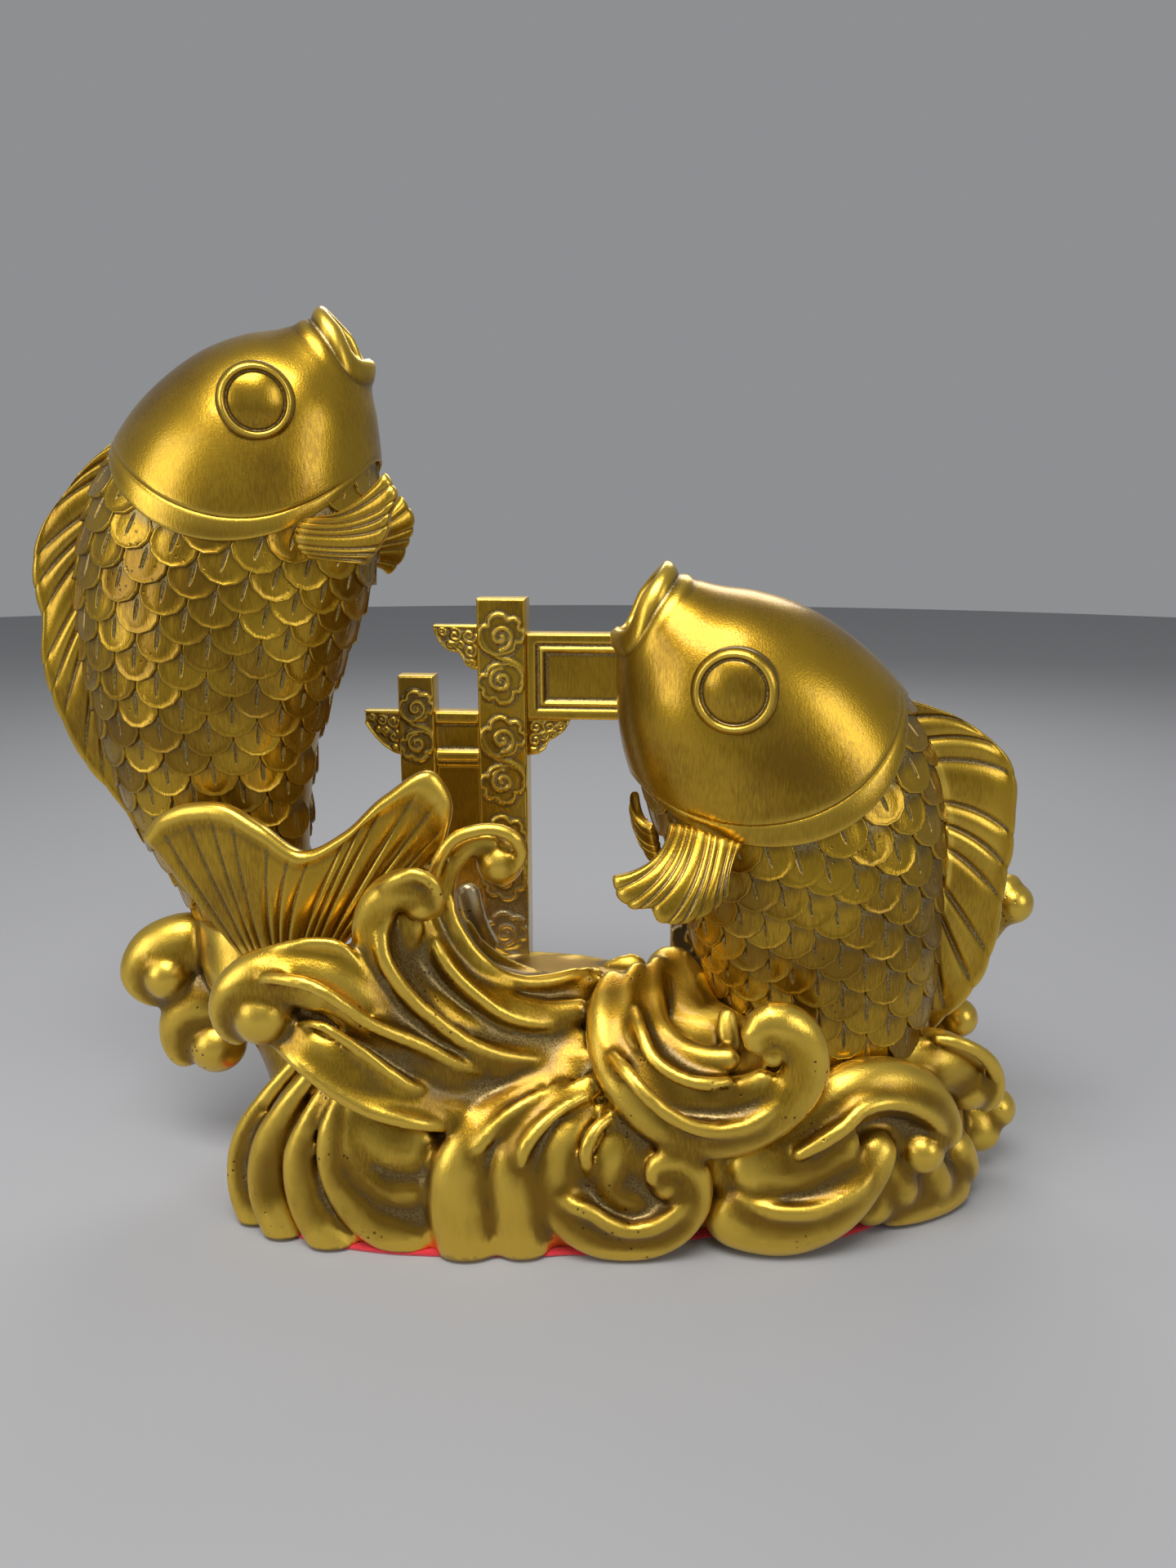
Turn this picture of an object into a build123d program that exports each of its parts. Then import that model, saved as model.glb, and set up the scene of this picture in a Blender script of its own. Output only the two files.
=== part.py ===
from build123d import *
from math import cos, radians, sin
import os

os.makedirs("parts", exist_ok=True)

# Wave base, a dome of water cast in one piece, on its felt pad
wave_length = 260.0
wave_depth = 112.0
wave_height = 120.0
felt_thickness = 1.5
felt_inset = 1.0

# Ribbons of water that curl over the base
ribbon_width = 20.0
curl_ball = 20.0

# Carps, each measured from its lip to its foot, and placed by the centre of its gill cover
left_carp_length = 180.0
right_carp_length = 180.0
left_gill_x = -98.0
left_gill_y = 15.0
left_gill_z = 255.0
right_gill_x = 62.0
right_gill_y = -15.0
right_gill_z = 165.0
gill_radius = 45.5
gill_step = 1.8
lip_wall = 3.5
eye_radius = 12.0
eye_ring = 2.6
eye_seat_depth = 4.5
eye_rise = 1.2
dorsal_thickness = 5.0
tail_thickness = 6.0
tail_fin_y = -22.0

# Four-post gate behind the carps
gate_x = 12.0
gate_y = 27.0
gate_turn = -4.0
bay_width = 50.8
tall_post_width = 16.8
tall_post_thickness = 14.0
tall_post_top = 190.5
side_bay_width = 15.7
short_post_width = 12.6
short_post_thickness = 11.0
short_post_top = 163.7
post_foot = 40.0
plaque_bottom = 149.0
plaque_height = 29.6
plaque_thickness = 10.0
plaque_border = 4.0
plaque_recess = 1.2
side_beam_bottom = 131.7
side_beam_height = 19.4
side_beam_thickness = 9.0
side_moulding = 3.5
side_moulding_rise = 1.2
side_panel_thickness = 5.0
side_panel_bottom = 60.0
bracket_thickness = 7.0
spandrel_width = 14.8
spandrel_height = 13.2
upper_bracket_width = 15.6
upper_bracket_height = 15.4
upper_bracket_top = 181.1
low_bracket_width = 12.5
low_bracket_height = 15.7

# Steel pins that stand the carps on the base
pin_radius = 3.0
pin_length = 40.0
pin_spacing = 18.0

# Glue line between castings, and how far a cut runs past what it cuts
glue_gap = 0.3
overrun = 20.0

# Outline of the base on the table, as shares of the wave length and depth
footprint_shares = (
    (-0.431, -0.090),
    (-0.396, -0.290),
    (-0.350, -0.420),
    (-0.242, -0.520),
    (-0.119, -0.545),
    (0.012, -0.536),
    (0.100, -0.518),
    (0.185, -0.450),
    (0.300, -0.482),
    (0.385, -0.400),
    (0.473, -0.250),
    (0.531, -0.070),
    (0.573, 0.116),
    (0.562, 0.300),
    (0.469, 0.410),
    (0.308, 0.446),
    (0.115, 0.455),
    (-0.077, 0.446),
    (-0.250, 0.430),
    (-0.377, 0.320),
    (-0.431, 0.125),
)
base_centre_shares = (0.071, -0.045)

# Levels of the dome: height, and spread of the outline about the base's centre
dome_shares = ((0.0, 0.97), (0.14, 1.0), (0.27, 0.93), (0.36, 0.74), (0.39, 0.50))

# Swells on the dome: height, centre x and y, half length and half depth at each level
saddle_shares = (
    (0.12, -0.050, 0.00, 0.350, 0.43),
    (0.40, -0.070, 0.04, 0.290, 0.36),
    (0.50, -0.070, 0.07, 0.240, 0.29),
    (0.54, -0.070, 0.09, 0.180, 0.22),
)
middle_swell_shares = (
    (0.12, -0.170, -0.05, 0.165, 0.36),
    (0.35, -0.175, -0.06, 0.150, 0.31),
    (0.55, -0.180, -0.07, 0.120, 0.24),
    (0.68, -0.185, -0.06, 0.090, 0.17),
    (0.74, -0.190, -0.05, 0.050, 0.10),
)
left_swell_shares = (
    (0.12, -0.290, 0.02, 0.135, 0.40),
    (0.35, -0.340, 0.04, 0.135, 0.37),
    (0.55, -0.375, 0.06, 0.120, 0.31),
    (0.68, -0.395, 0.09, 0.108, 0.26),
    (0.76, -0.402, 0.11, 0.090, 0.21),
)
right_swell_shares = (
    (0.12, 0.340, -0.08, 0.200, 0.34),
    (0.30, 0.340, -0.10, 0.175, 0.31),
    (0.42, 0.340, -0.12, 0.135, 0.25),
)

# Ribbons: x, y and z of each point on the way, and half the width there
crest_left_shares = (
    (-0.038, -0.32, 0.36, 0.20),
    (-0.100, -0.36, 0.40, 0.26),
    (-0.164, -0.38, 0.48, 0.33),
    (-0.210, -0.39, 0.57, 0.38),
    (-0.245, -0.39, 0.66, 0.41),
    (-0.286, -0.39, 0.72, 0.41),
    (-0.331, -0.39, 0.72, 0.38),
    (-0.362, -0.39, 0.67, 0.34),
)
crest_left_ball_shares = (-0.350, -0.41, 0.615, 0.46)
tongue_shares = (
    (-0.008, -0.34, 0.31, 0.20),
    (-0.084, -0.40, 0.31, 0.27),
    (-0.150, -0.43, 0.34, 0.32),
    (-0.215, -0.43, 0.39, 0.34),
    (-0.272, -0.41, 0.46, 0.32),
    (-0.326, -0.38, 0.51, 0.24),
)
crest_middle_shares = (
    (0.021, -0.27, 0.42, 0.18),
    (-0.057, -0.30, 0.45, 0.23),
    (-0.124, -0.32, 0.50, 0.28),
    (-0.176, -0.33, 0.59, 0.28),
    (-0.209, -0.33, 0.69, 0.27),
    (-0.221, -0.33, 0.79, 0.25),
    (-0.210, -0.33, 0.87, 0.23),
    (-0.188, -0.33, 0.91, 0.22),
)
crest_middle_ball_shares = (-0.170, -0.34, 0.87, 0.33)
crest_tall_shares = (
    (0.051, -0.12, 0.54, 0.21),
    (-0.010, -0.16, 0.55, 0.26),
    (-0.070, -0.18, 0.60, 0.31),
    (-0.108, -0.19, 0.68, 0.31),
    (-0.134, -0.20, 0.78, 0.26),
    (-0.140, -0.20, 0.88, 0.22),
    (-0.128, -0.20, 0.96, 0.21),
    (-0.104, -0.20, 1.01, 0.21),
)
crest_tall_ball_shares = (-0.084, -0.21, 0.96, 0.37)
crest_centre_shares = (
    (0.090, -0.11, 0.59, 0.42),
    (0.080, -0.29, 0.54, 0.46),
    (0.098, -0.38, 0.45, 0.48),
    (0.140, -0.44, 0.37, 0.46),
    (0.192, -0.47, 0.34, 0.42),
    (0.245, -0.49, 0.39, 0.34),
    (0.272, -0.50, 0.50, 0.28),
    (0.268, -0.50, 0.59, 0.24),
)
crest_centre_ball_shares = (0.242, -0.51, 0.57, 0.42)
crest_front_shares = (
    (0.055, -0.42, 0.33, 0.26),
    (0.016, -0.47, 0.27, 0.30),
    (0.010, -0.50, 0.18, 0.32),
    (0.040, -0.51, 0.11, 0.30),
    (0.090, -0.51, 0.08, 0.27),
    (0.136, -0.51, 0.10, 0.25),
    (0.157, -0.51, 0.18, 0.23),
)
crest_front_ball_shares = (0.130, -0.51, 0.20, 0.40)
crest_right_low_shares = (
    (0.160, -0.44, 0.20, 0.24),
    (0.206, -0.47, 0.15, 0.34),
    (0.263, -0.49, 0.12, 0.38),
    (0.322, -0.47, 0.13, 0.37),
    (0.364, -0.43, 0.19, 0.31),
    (0.382, -0.40, 0.25, 0.21),
)
crest_right_middle_shares = (
    (0.202, -0.41, 0.22, 0.24),
    (0.262, -0.44, 0.25, 0.31),
    (0.309, -0.43, 0.31, 0.36),
    (0.352, -0.40, 0.35, 0.39),
    (0.400, -0.36, 0.36, 0.37),
    (0.440, -0.33, 0.32, 0.34),
    (0.464, -0.31, 0.25, 0.30),
)
crest_right_middle_ball_shares = (0.444, -0.34, 0.20, 0.40)
crest_right_high_shares = (
    (0.396, -0.14, 0.34, 0.26),
    (0.440, -0.13, 0.38, 0.32),
    (0.490, -0.12, 0.39, 0.28),
    (0.530, -0.12, 0.35, 0.25),
    (0.545, -0.11, 0.29, 0.22),
)
crest_right_high_ball_shares = (0.521, -0.12, 0.27, 0.40)
crest_back_right_shares = (
    (0.420, 0.10, 0.28, 0.50),
    (0.485, 0.15, 0.45, 0.46),
    (0.545, 0.18, 0.60, 0.40),
    (0.590, 0.20, 0.72, 0.34),
    (0.608, 0.20, 0.79, 0.26),
)
crest_back_right_ball_shares = (0.600, 0.18, 0.71, 0.38)
knob_upper_shares = (
    (-0.380, 0.10, 0.54, 0.50),
    (-0.450, 0.11, 0.62, 0.54),
    (-0.510, 0.12, 0.65, 0.52),
    (-0.548, 0.12, 0.62, 0.46),
)
knob_upper_ball_shares = (-0.540, 0.12, 0.56, 0.56)
knob_lower_shares = (
    (-0.350, 0.05, 0.33, 0.46),
    (-0.420, 0.06, 0.40, 0.50),
    (-0.480, 0.07, 0.42, 0.48),
    (-0.510, 0.07, 0.38, 0.42),
)
knob_lower_ball_shares = (-0.490, 0.07, 0.33, 0.60)
knob_right_upper_shares = (0.530, 0.10, 0.36, 0.46)
knob_right_lower_shares = (0.570, 0.02, 0.17, 0.48)
ribbon_flatness_share = 1.2

# Carp rings from lip to foot: x and z from the gill centre, half depth, half thickness, and the
# direction of the back in degrees
left_ring_shares = (
    (0.198, 0.113, 0.042, 0.041, 132),
    (0.184, 0.100, 0.058, 0.057, 132),
    (0.173, 0.071, 0.077, 0.074, 134),
    (0.154, 0.041, 0.103, 0.096, 137),
    (0.121, 0.013, 0.141, 0.125, 140),
    (0.082, -0.026, 0.177, 0.150, 145),
    (0.048, -0.071, 0.204, 0.170, 149),
    (0.018, -0.123, 0.228, 0.182, 152),
    (-0.011, -0.187, 0.245, 0.189, 155),
    (-0.045, -0.257, 0.253, 0.190, 159),
    (-0.068, -0.324, 0.251, 0.188, 164),
    (-0.098, -0.471, 0.228, 0.172, 171),
    (-0.107, -0.613, 0.194, 0.150, 178),
    (-0.094, -0.746, 0.163, 0.128, 185),
    (-0.059, -0.888, 0.120, 0.104, 188),
    (-0.040, -0.980, 0.100, 0.092, 190),
)
right_ring_shares = (
    (-0.222, 0.174, 0.046, 0.045, 50),
    (-0.209, 0.160, 0.063, 0.062, 50),
    (-0.193, 0.132, 0.086, 0.082, 48),
    (-0.169, 0.098, 0.119, 0.108, 48),
    (-0.126, 0.053, 0.168, 0.142, 47),
    (-0.078, 0.004, 0.205, 0.165, 46),
    (-0.026, -0.055, 0.231, 0.180, 44),
    (0.025, -0.124, 0.249, 0.187, 41),
    (0.062, -0.195, 0.258, 0.190, 38),
    (0.088, -0.277, 0.250, 0.188, 33),
    (0.116, -0.447, 0.214, 0.168, 20),
    (0.131, -0.585, 0.185, 0.148, 11),
    (0.143, -0.694, 0.150, 0.125, 7),
)
head_rings = 11
mouth_rings = 5

# Eyes: x and z from the gill centre, distance out from the carp's middle plane, and turn to the lip
left_eye_shares = (0.056, -0.026, 0.172)
right_eye_shares = (-0.073, 0.028, 0.172)
left_eye_turn = 15.0
right_eye_turn = -15.0

# Dorsal fins: outer edge, x and z from the gill centre, then back inside the body
left_dorsal_shares = (
    (-0.200, -0.062),
    (-0.240, -0.106),
    (-0.294, -0.125),
    (-0.342, -0.176),
    (-0.380, -0.221),
    (-0.403, -0.272),
    (-0.409, -0.324),
    (-0.400, -0.392),
    (-0.408, -0.466),
    (-0.397, -0.531),
    (-0.371, -0.607),
    (-0.345, -0.661),
    (-0.305, -0.713),
    (-0.276, -0.757),
    (-0.253, -0.808),
    (-0.150, -0.760),
    (-0.180, -0.450),
    (-0.150, -0.180),
)
right_dorsal_shares = (
    (0.200, -0.010),
    (0.259, -0.016),
    (0.340, -0.045),
    (0.391, -0.076),
    (0.426, -0.106),
    (0.447, -0.144),
    (0.447, -0.211),
    (0.446, -0.267),
    (0.438, -0.324),
    (0.434, -0.381),
    (0.424, -0.452),
    (0.407, -0.512),
    (0.376, -0.560),
    (0.335, -0.602),
    (0.300, -0.640),
    (0.200, -0.560),
    (0.220, -0.330),
    (0.180, -0.120),
)

# Pectoral fins: x, y and z from the gill centre, half width and half thickness along the fin
left_pectoral_shares = (
    (0.100, -0.170, -0.240, 0.055, 0.025),
    (0.150, -0.215, -0.225, 0.080, 0.020),
    (0.210, -0.240, -0.195, 0.085, 0.017),
    (0.262, -0.250, -0.150, 0.060, 0.016),
    (0.285, -0.245, -0.125, 0.025, 0.012),
)
right_pectoral_shares = (
    (-0.010, -0.170, -0.270, 0.050, 0.030),
    (-0.060, -0.205, -0.255, 0.075, 0.024),
    (-0.130, -0.235, -0.265, 0.085, 0.019),
    (-0.200, -0.250, -0.265, 0.065, 0.016),
    (-0.250, -0.250, -0.245, 0.028, 0.012),
)
far_fin_reach_share = 0.80
left_far_fin_flare_share = 1.0
right_far_fin_flare_share = 0.3

# Tail fin of the left carp: edge of the two lobes, x and z from the gill centre
tail_fin_shares = (
    (-0.162, -0.731),
    (-0.092, -0.690),
    (-0.038, -0.671),
    (0.028, -0.720),
    (0.072, -0.762),
    (0.105, -0.776),
    (0.138, -0.753),
    (0.182, -0.715),
    (0.236, -0.668),
    (0.280, -0.645),
    (0.316, -0.622),
    (0.342, -0.653),
    (0.358, -0.697),
    (0.328, -0.776),
    (0.262, -0.824),
    (0.195, -0.891),
    (0.130, -0.935),
    (0.040, -0.965),
    (-0.030, -0.960),
    (-0.071, -0.917),
    (-0.106, -0.881),
    (-0.146, -0.787),
)


def wave_point(x_share, y_share, z_share):
    """A place on the water, with the felt's top as its ground."""
    return Vector(x_share * wave_length, y_share * wave_depth, z_share * wave_height)


def footprint(spread_share, level, grow):
    """The base's outline, spread about its centre, at a height."""
    centre_x = base_centre_shares[0] * wave_length
    centre_y = base_centre_shares[1] * wave_depth
    points = []
    for x_share, y_share in footprint_shares:
        x_reach = (x_share - base_centre_shares[0]) * (wave_length + 2 * grow)
        y_reach = (y_share - base_centre_shares[1]) * (wave_depth + 2 * grow)
        points.append((centre_x + x_reach * spread_share, centre_y + y_reach * spread_share, level))
    return make_face(Spline(points, periodic=True))


def swell(rows, grow):
    """A rounded rise of water, lofted through level ellipses."""
    rings = []
    for z_share, x_share, y_share, long_share, deep_share in rows:
        ring = Ellipse(long_share * wave_length + grow, deep_share * wave_depth + grow)
        lift = grow if z_share == rows[-1][0] else 0
        rings.append(Location(wave_point(x_share, y_share, z_share) + Vector(0, 0, lift)) * ring)
    return loft(rings)


def wave_dome(grow=0.0):
    """The whole body of water before anything is let into it."""
    levels = []
    for z_share, spread_share in dome_shares:
        lift = grow if z_share == dome_shares[-1][0] else 0
        level = felt_thickness + z_share * wave_height + lift
        levels.append(footprint(spread_share, level, grow))
    dome = loft(levels)
    for rows in (saddle_shares, middle_swell_shares, left_swell_shares, right_swell_shares):
        dome = dome + swell(rows, grow)
    return dome


def ribbon(rows, ball, grow=0.0):
    """A ribbon of water, lofted square to its way, with the ball of its curl."""
    places = [wave_point(row[0], row[1], row[2]) for row in rows]
    rings = []
    for index, row in enumerate(rows):
        before = places[max(index - 1, 0)]
        after = places[min(index + 1, len(places) - 1)]
        across = Plane(origin=places[index], x_dir=(0, 1, 0), z_dir=after - before)
        half_width = row[3] * ribbon_width
        rings.append(across * Ellipse(half_width * ribbon_flatness_share + grow, half_width + grow))
    water = loft(rings)
    if ball:
        water = water + curl(ball, grow)
    return water


def curl(ball, grow=0.0):
    """The round bead that a ribbon rolls up into."""
    return Location(wave_point(ball[0], ball[1], ball[2])) * Sphere(ball[3] * curl_ball + grow)


def carp_place(gill, length, x_share, y_share, z_share):
    """A place on a carp, measured from the centre of its gill cover."""
    return gill + Vector(x_share * length, y_share * length, z_share * length)


def carp_shell(gill, length, rows, grow=0.0):
    """The carp's skin through its rings, let out or taken in by a growth."""
    rings = []
    for x_share, z_share, deep_share, thick_share, back_angle in rows:
        turn = radians(back_angle)
        section = Plane(
            origin=carp_place(gill, length, x_share, 0, z_share),
            x_dir=(cos(turn), 0, sin(turn)),
            z_dir=(sin(turn), 0, -cos(turn)),
        )
        rings.append(section * Ellipse(deep_share * length + grow, thick_share * length + grow))
    return loft(rings)


def gill_cutter(gill, length, grow=0.0):
    """All that lies on the lip's side of the round edge of the gill cover."""
    reach = length + overrun
    edge = Plane(origin=gill, z_dir=(0, 1, 0)) * Cylinder(gill_radius + grow, reach)
    above = Location(gill + Vector(0, 0, reach / 2 - grow)) * Box(2 * reach, reach, reach)
    return edge + above


def carp_head(gill, length, rows):
    """The smooth head with its gill cover, open at the mouth."""
    head = carp_shell(gill, length, rows[:head_rings], gill_step) & gill_cutter(gill, length)
    mouth = carp_shell(gill, length, rows[:mouth_rings], gill_step - lip_wall)
    return head - mouth


def carp_trunk(gill, length, rows):
    """The scaled body behind the gill cover, down to its foot."""
    return carp_shell(gill, length, rows) - gill_cutter(gill, length, glue_gap)


def eye_seat(gill, length, spot, turn, side):
    """The plane at the bottom of an eye's seat, facing out of the head."""
    x_share, z_share, out_share = spot
    centre = carp_place(gill, length, x_share, side * out_share, z_share)
    swing = radians(turn)
    outward = Vector(sin(swing), side * cos(swing), 0)
    return Plane(origin=centre - outward * eye_seat_depth, x_dir=(0, 0, 1), z_dir=outward)


def eye(seat):
    """A low dome inside a raised ring, turned in one piece."""
    inner = eye_radius - eye_ring
    dome_radius = (inner ** 2 + eye_rise ** 2) / (2 * eye_rise)
    disc = Location((0, 0, eye_seat_depth / 2)) * Cylinder(eye_radius, eye_seat_depth)
    ring = Location((0, 0, eye_seat_depth)) * Torus(inner + eye_ring / 2, eye_ring / 2)
    ball = Location((0, 0, eye_seat_depth + eye_rise - dome_radius)) * Sphere(dome_radius)
    column = Location((0, 0, eye_seat_depth)) * Cylinder(inner, 2 * eye_rise)
    return seat * (disc + ring + (ball & column))


def fin_plate(gill, length, edge, thickness, middle_y):
    """A flat fin with a curved edge, upright in the carp's own plane."""
    points = []
    for x_share, z_share in edge:
        place = carp_place(gill, length, x_share, 0, z_share)
        points.append((place.X, middle_y, place.Z))
    outline = make_face(Spline(points, periodic=True))
    return extrude(outline, amount=thickness / 2, dir=(0, 1, 0), both=True)


def pectoral_fin(gill, length, rows, side, reach_share, flare_share):
    """A fan-shaped side fin, thin and spread, that leaves the body at its root."""
    root_x, root_y = rows[0][:2]
    places = []
    for x_share, y_share, z_share, wide_share, thick_share in rows:
        x_out = root_x + (x_share - root_x) * reach_share
        y_out = root_y + (y_share - root_y) * flare_share
        places.append(carp_place(gill, length, x_out, -side * y_out, z_share))
    rings = []
    for index, row in enumerate(rows):
        before = places[max(index - 1, 0)]
        after = places[min(index + 1, len(places) - 1)]
        across = Plane(origin=places[index], x_dir=(0, 0, 1), z_dir=after - before)
        rings.append(across * Ellipse(row[3] * length, row[4] * length))
    return loft(rings)


def foot_pins(gill, length, rows, grow=0.0):
    """The two upright pins, half in the carp's foot and half in the base."""
    foot = carp_place(gill, length, rows[-1][0], 0, rows[-1][1])
    pins = []
    for side in (-1, 1):
        middle = foot + Vector(side * pin_spacing / 2, 0, 0)
        pins.append(Location(middle) * Cylinder(pin_radius + grow, pin_length + 2 * grow))
    return pins


def gate_block(low_x, high_x, low_z, high_z, thickness, front=0.0):
    """An upright block in the gate, from its left to its right and its foot to its top."""
    block = Box(high_x - low_x, thickness, high_z - low_z)
    centre = ((low_x + high_x) / 2, front + thickness / 2, (low_z + high_z) / 2)
    return Location((gate_x, gate_y, 0), (0, 0, gate_turn)) * Location(centre) * block


def gate_outline(points, thickness, front):
    """A carved bracket in the gate, cut from a board along an outline."""
    face = make_face(Polyline([(x, front, z) for x, z in points], close=True))
    board = extrude(face, amount=thickness, dir=(0, 1, 0))
    return Location((gate_x, gate_y, 0), (0, 0, gate_turn)) * board


def cut(piece, *cutters):
    """A piece with each cutter taken away from it."""
    for cutter in cutters:
        piece = piece - cutter
    return piece


def save(shape, name):
    """Write one piece under its own name."""
    export_step(shape, "parts/" + name + ".step")


left_gill = Vector(left_gill_x, left_gill_y, left_gill_z)
right_gill = Vector(right_gill_x, right_gill_y, right_gill_z)

# Carps, with the room that each needs in what carries it
carps = (
    ("left_carp", left_gill, left_carp_length, left_ring_shares),
    ("right_carp", right_gill, right_carp_length, right_ring_shares),
)
carp_room = {}
pins = []
pin_room = []
for name, gill, length, rows in carps:
    carp_room[name] = carp_shell(gill, length, rows, glue_gap)
    pins = pins + foot_pins(gill, length, rows)
    pin_room = pin_room + foot_pins(gill, length, rows, glue_gap)
save(Compound(pins), "steel_foot_pins")

# Gate posts, worked out from the bay outwards
bay_edge = bay_width / 2
tall_edge = bay_edge + tall_post_width
short_start = tall_edge + side_bay_width
short_edge = short_start + short_post_width
short_front = (tall_post_thickness - short_post_thickness) / 2
post_room = []
for side, word in ((-1, "left"), (1, "right")):
    spans = (
        ("gate_tall_post_", bay_edge, tall_edge, tall_post_top, tall_post_thickness, 0.0),
        ("gate_short_post_", short_start, short_edge, short_post_top, short_post_thickness, short_front),
    )
    for stem, inner, outer, top, thickness, front in spans:
        low, high = sorted((side * inner, side * outer))
        save(gate_block(low, high, post_foot, top, thickness, front), stem + word)
        room_left = low - glue_gap
        room_right = high + glue_gap
        room_foot = post_foot - glue_gap
        room_front = front - glue_gap
        room_thickness = thickness + 2 * glue_gap
        post_room.append(gate_block(room_left, room_right, room_foot, top, room_thickness, room_front))

# Side panels under the low beams, and the beams with a moulding at each edge
beam_front = (tall_post_thickness - side_beam_thickness) / 2
panel_front = (tall_post_thickness - side_panel_thickness) / 2
side_beam_top = side_beam_bottom + side_beam_height
for side, word in ((-1, "left"), (1, "right")):
    low, high = sorted((side * tall_edge, side * short_start))
    panel = gate_block(low, high, side_panel_bottom, side_beam_bottom, side_panel_thickness, panel_front)
    room_front = panel_front - glue_gap
    room_thickness = side_panel_thickness + 2 * glue_gap
    room_foot = side_panel_bottom - glue_gap
    post_room.append(gate_block(low, high, room_foot, side_beam_bottom, room_thickness, room_front))
    save(panel, "gate_side_panel_" + word)
    beam = gate_block(low, high, side_beam_bottom, side_beam_top, side_beam_thickness, beam_front)
    moulding_front = beam_front - side_moulding_rise
    moulding_thickness = side_beam_thickness + 2 * side_moulding_rise
    for foot in (side_beam_bottom, side_beam_top - side_moulding):
        top = foot + side_moulding
        beam = beam + gate_block(low, high, foot, top, moulding_thickness, moulding_front)
    save(beam, "gate_side_beam_" + word)

# Plaque beam between the tall posts, with a bare sunk panel on each face
plaque_front = (tall_post_thickness - plaque_thickness) / 2
plaque_top = plaque_bottom + plaque_height
plaque = gate_block(-bay_edge, bay_edge, plaque_bottom, plaque_top, plaque_thickness, plaque_front)
for front in (plaque_front, plaque_front + plaque_thickness - plaque_recess):
    panel_edge = bay_edge - plaque_border
    panel_low = plaque_bottom + plaque_border
    panel_high = plaque_top - plaque_border
    plaque = plaque - gate_block(-panel_edge, panel_edge, panel_low, panel_high, plaque_recess, front)
save(plaque, "gate_plaque_beam")

# Carved brackets: outlines as shares of their width and height, out from the post and down
spandrel_shares = (
    (0, 0),
    (1, 0),
    (0.95, 0.35),
    (0.62, 0.42),
    (0.58, 0.75),
    (0.22, 0.80),
    (0.14, 1),
    (0, 1),
)
upper_bracket_shares = (
    (0, 0),
    (1, 0),
    (0.94, 0.3),
    (0.8, 0.45),
    (0.5, 0.5),
    (0.4, 0.78),
    (0.1, 1),
    (0, 1),
)
low_bracket_shares = ((0, 0.08), (0.85, 0), (1, 0.3), (0.72, 0.62), (0.2, 1), (0, 1))
bracket_front = (tall_post_thickness - bracket_thickness) / 2
brackets = (
    ("gate_spandrel_", spandrel_shares, bay_edge, -1, plaque_bottom, spandrel_width, spandrel_height),
    ("gate_upper_bracket_", upper_bracket_shares, tall_edge, 1, upper_bracket_top, upper_bracket_width,
     upper_bracket_height),
    ("gate_low_bracket_", low_bracket_shares, short_edge, 1, side_beam_top, low_bracket_width,
     low_bracket_height),
)
for stem, shares, start, outward, top, width, height in brackets:
    for side, word in ((-1, "left"), (1, "right")):
        points = []
        for out_share, down_share in shares:
            points.append((side * (start + outward * out_share * width), top - down_share * height))
        save(gate_outline(points, bracket_thickness, bracket_front), stem + word)

# Base casting with sockets for the carps' feet, the pins and the gate, on its felt pad
dome = wave_dome()
base = cut(dome, carp_room["left_carp"], carp_room["right_carp"], *pin_room, *post_room)
save(base, "wave_base")
felt_outline = footprint(dome_shares[0][1], 0, -felt_inset)
save(extrude(felt_outline, amount=felt_thickness), "felt_pad")

# Carp castings
dome_room = wave_dome(glue_gap)
fin_room = []
eyes = {
    "left_carp": (left_eye_shares, left_eye_turn),
    "right_carp": (right_eye_shares, right_eye_turn),
}
for name, gill, length, rows in carps:
    trunk = cut(carp_trunk(gill, length, rows), *pin_room)
    save(trunk, name + "_body")
    head = carp_head(gill, length, rows)
    spot, turn = eyes[name]
    for side, word in ((-1, "near"), (1, "far")):
        seat = eye_seat(gill, length, spot, turn, side)
        save(eye(seat), name + "_eye_" + word)
        pocket_depth = eye_seat_depth + overrun
        pocket = Location((0, 0, pocket_depth / 2)) * Cylinder(eye_radius + glue_gap, pocket_depth)
        head = head - seat * pocket
    save(head, name + "_head")
    head_room = gill_cutter(gill, length, glue_gap)
    skin = carp_shell(gill, length, rows[:head_rings], gill_step + glue_gap) & head_room
    edge = left_dorsal_shares if name == "left_carp" else right_dorsal_shares
    dorsal = fin_plate(gill, length, edge, dorsal_thickness, gill.Y)
    save(cut(dorsal, carp_room[name], skin, dome_room), name + "_dorsal_fin")
    fin_room.append(fin_plate(gill, length, edge, dorsal_thickness + 2 * glue_gap, gill.Y))
    fin_rows = left_pectoral_shares if name == "left_carp" else right_pectoral_shares
    flare_share = left_far_fin_flare_share if name == "left_carp" else right_far_fin_flare_share
    near_fin = pectoral_fin(gill, length, fin_rows, -1, 1, 1)
    save(cut(near_fin, carp_room[name], skin), name + "_pectoral_fin_near")
    far_fin = pectoral_fin(gill, length, fin_rows, 1, far_fin_reach_share, flare_share)
    save(cut(far_fin, carp_room[name], skin, *post_room), name + "_pectoral_fin_far")

# Tail fin of the left carp, standing in front of its body
tail_fin = fin_plate(left_gill, left_carp_length, tail_fin_shares, tail_thickness, tail_fin_y)

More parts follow.
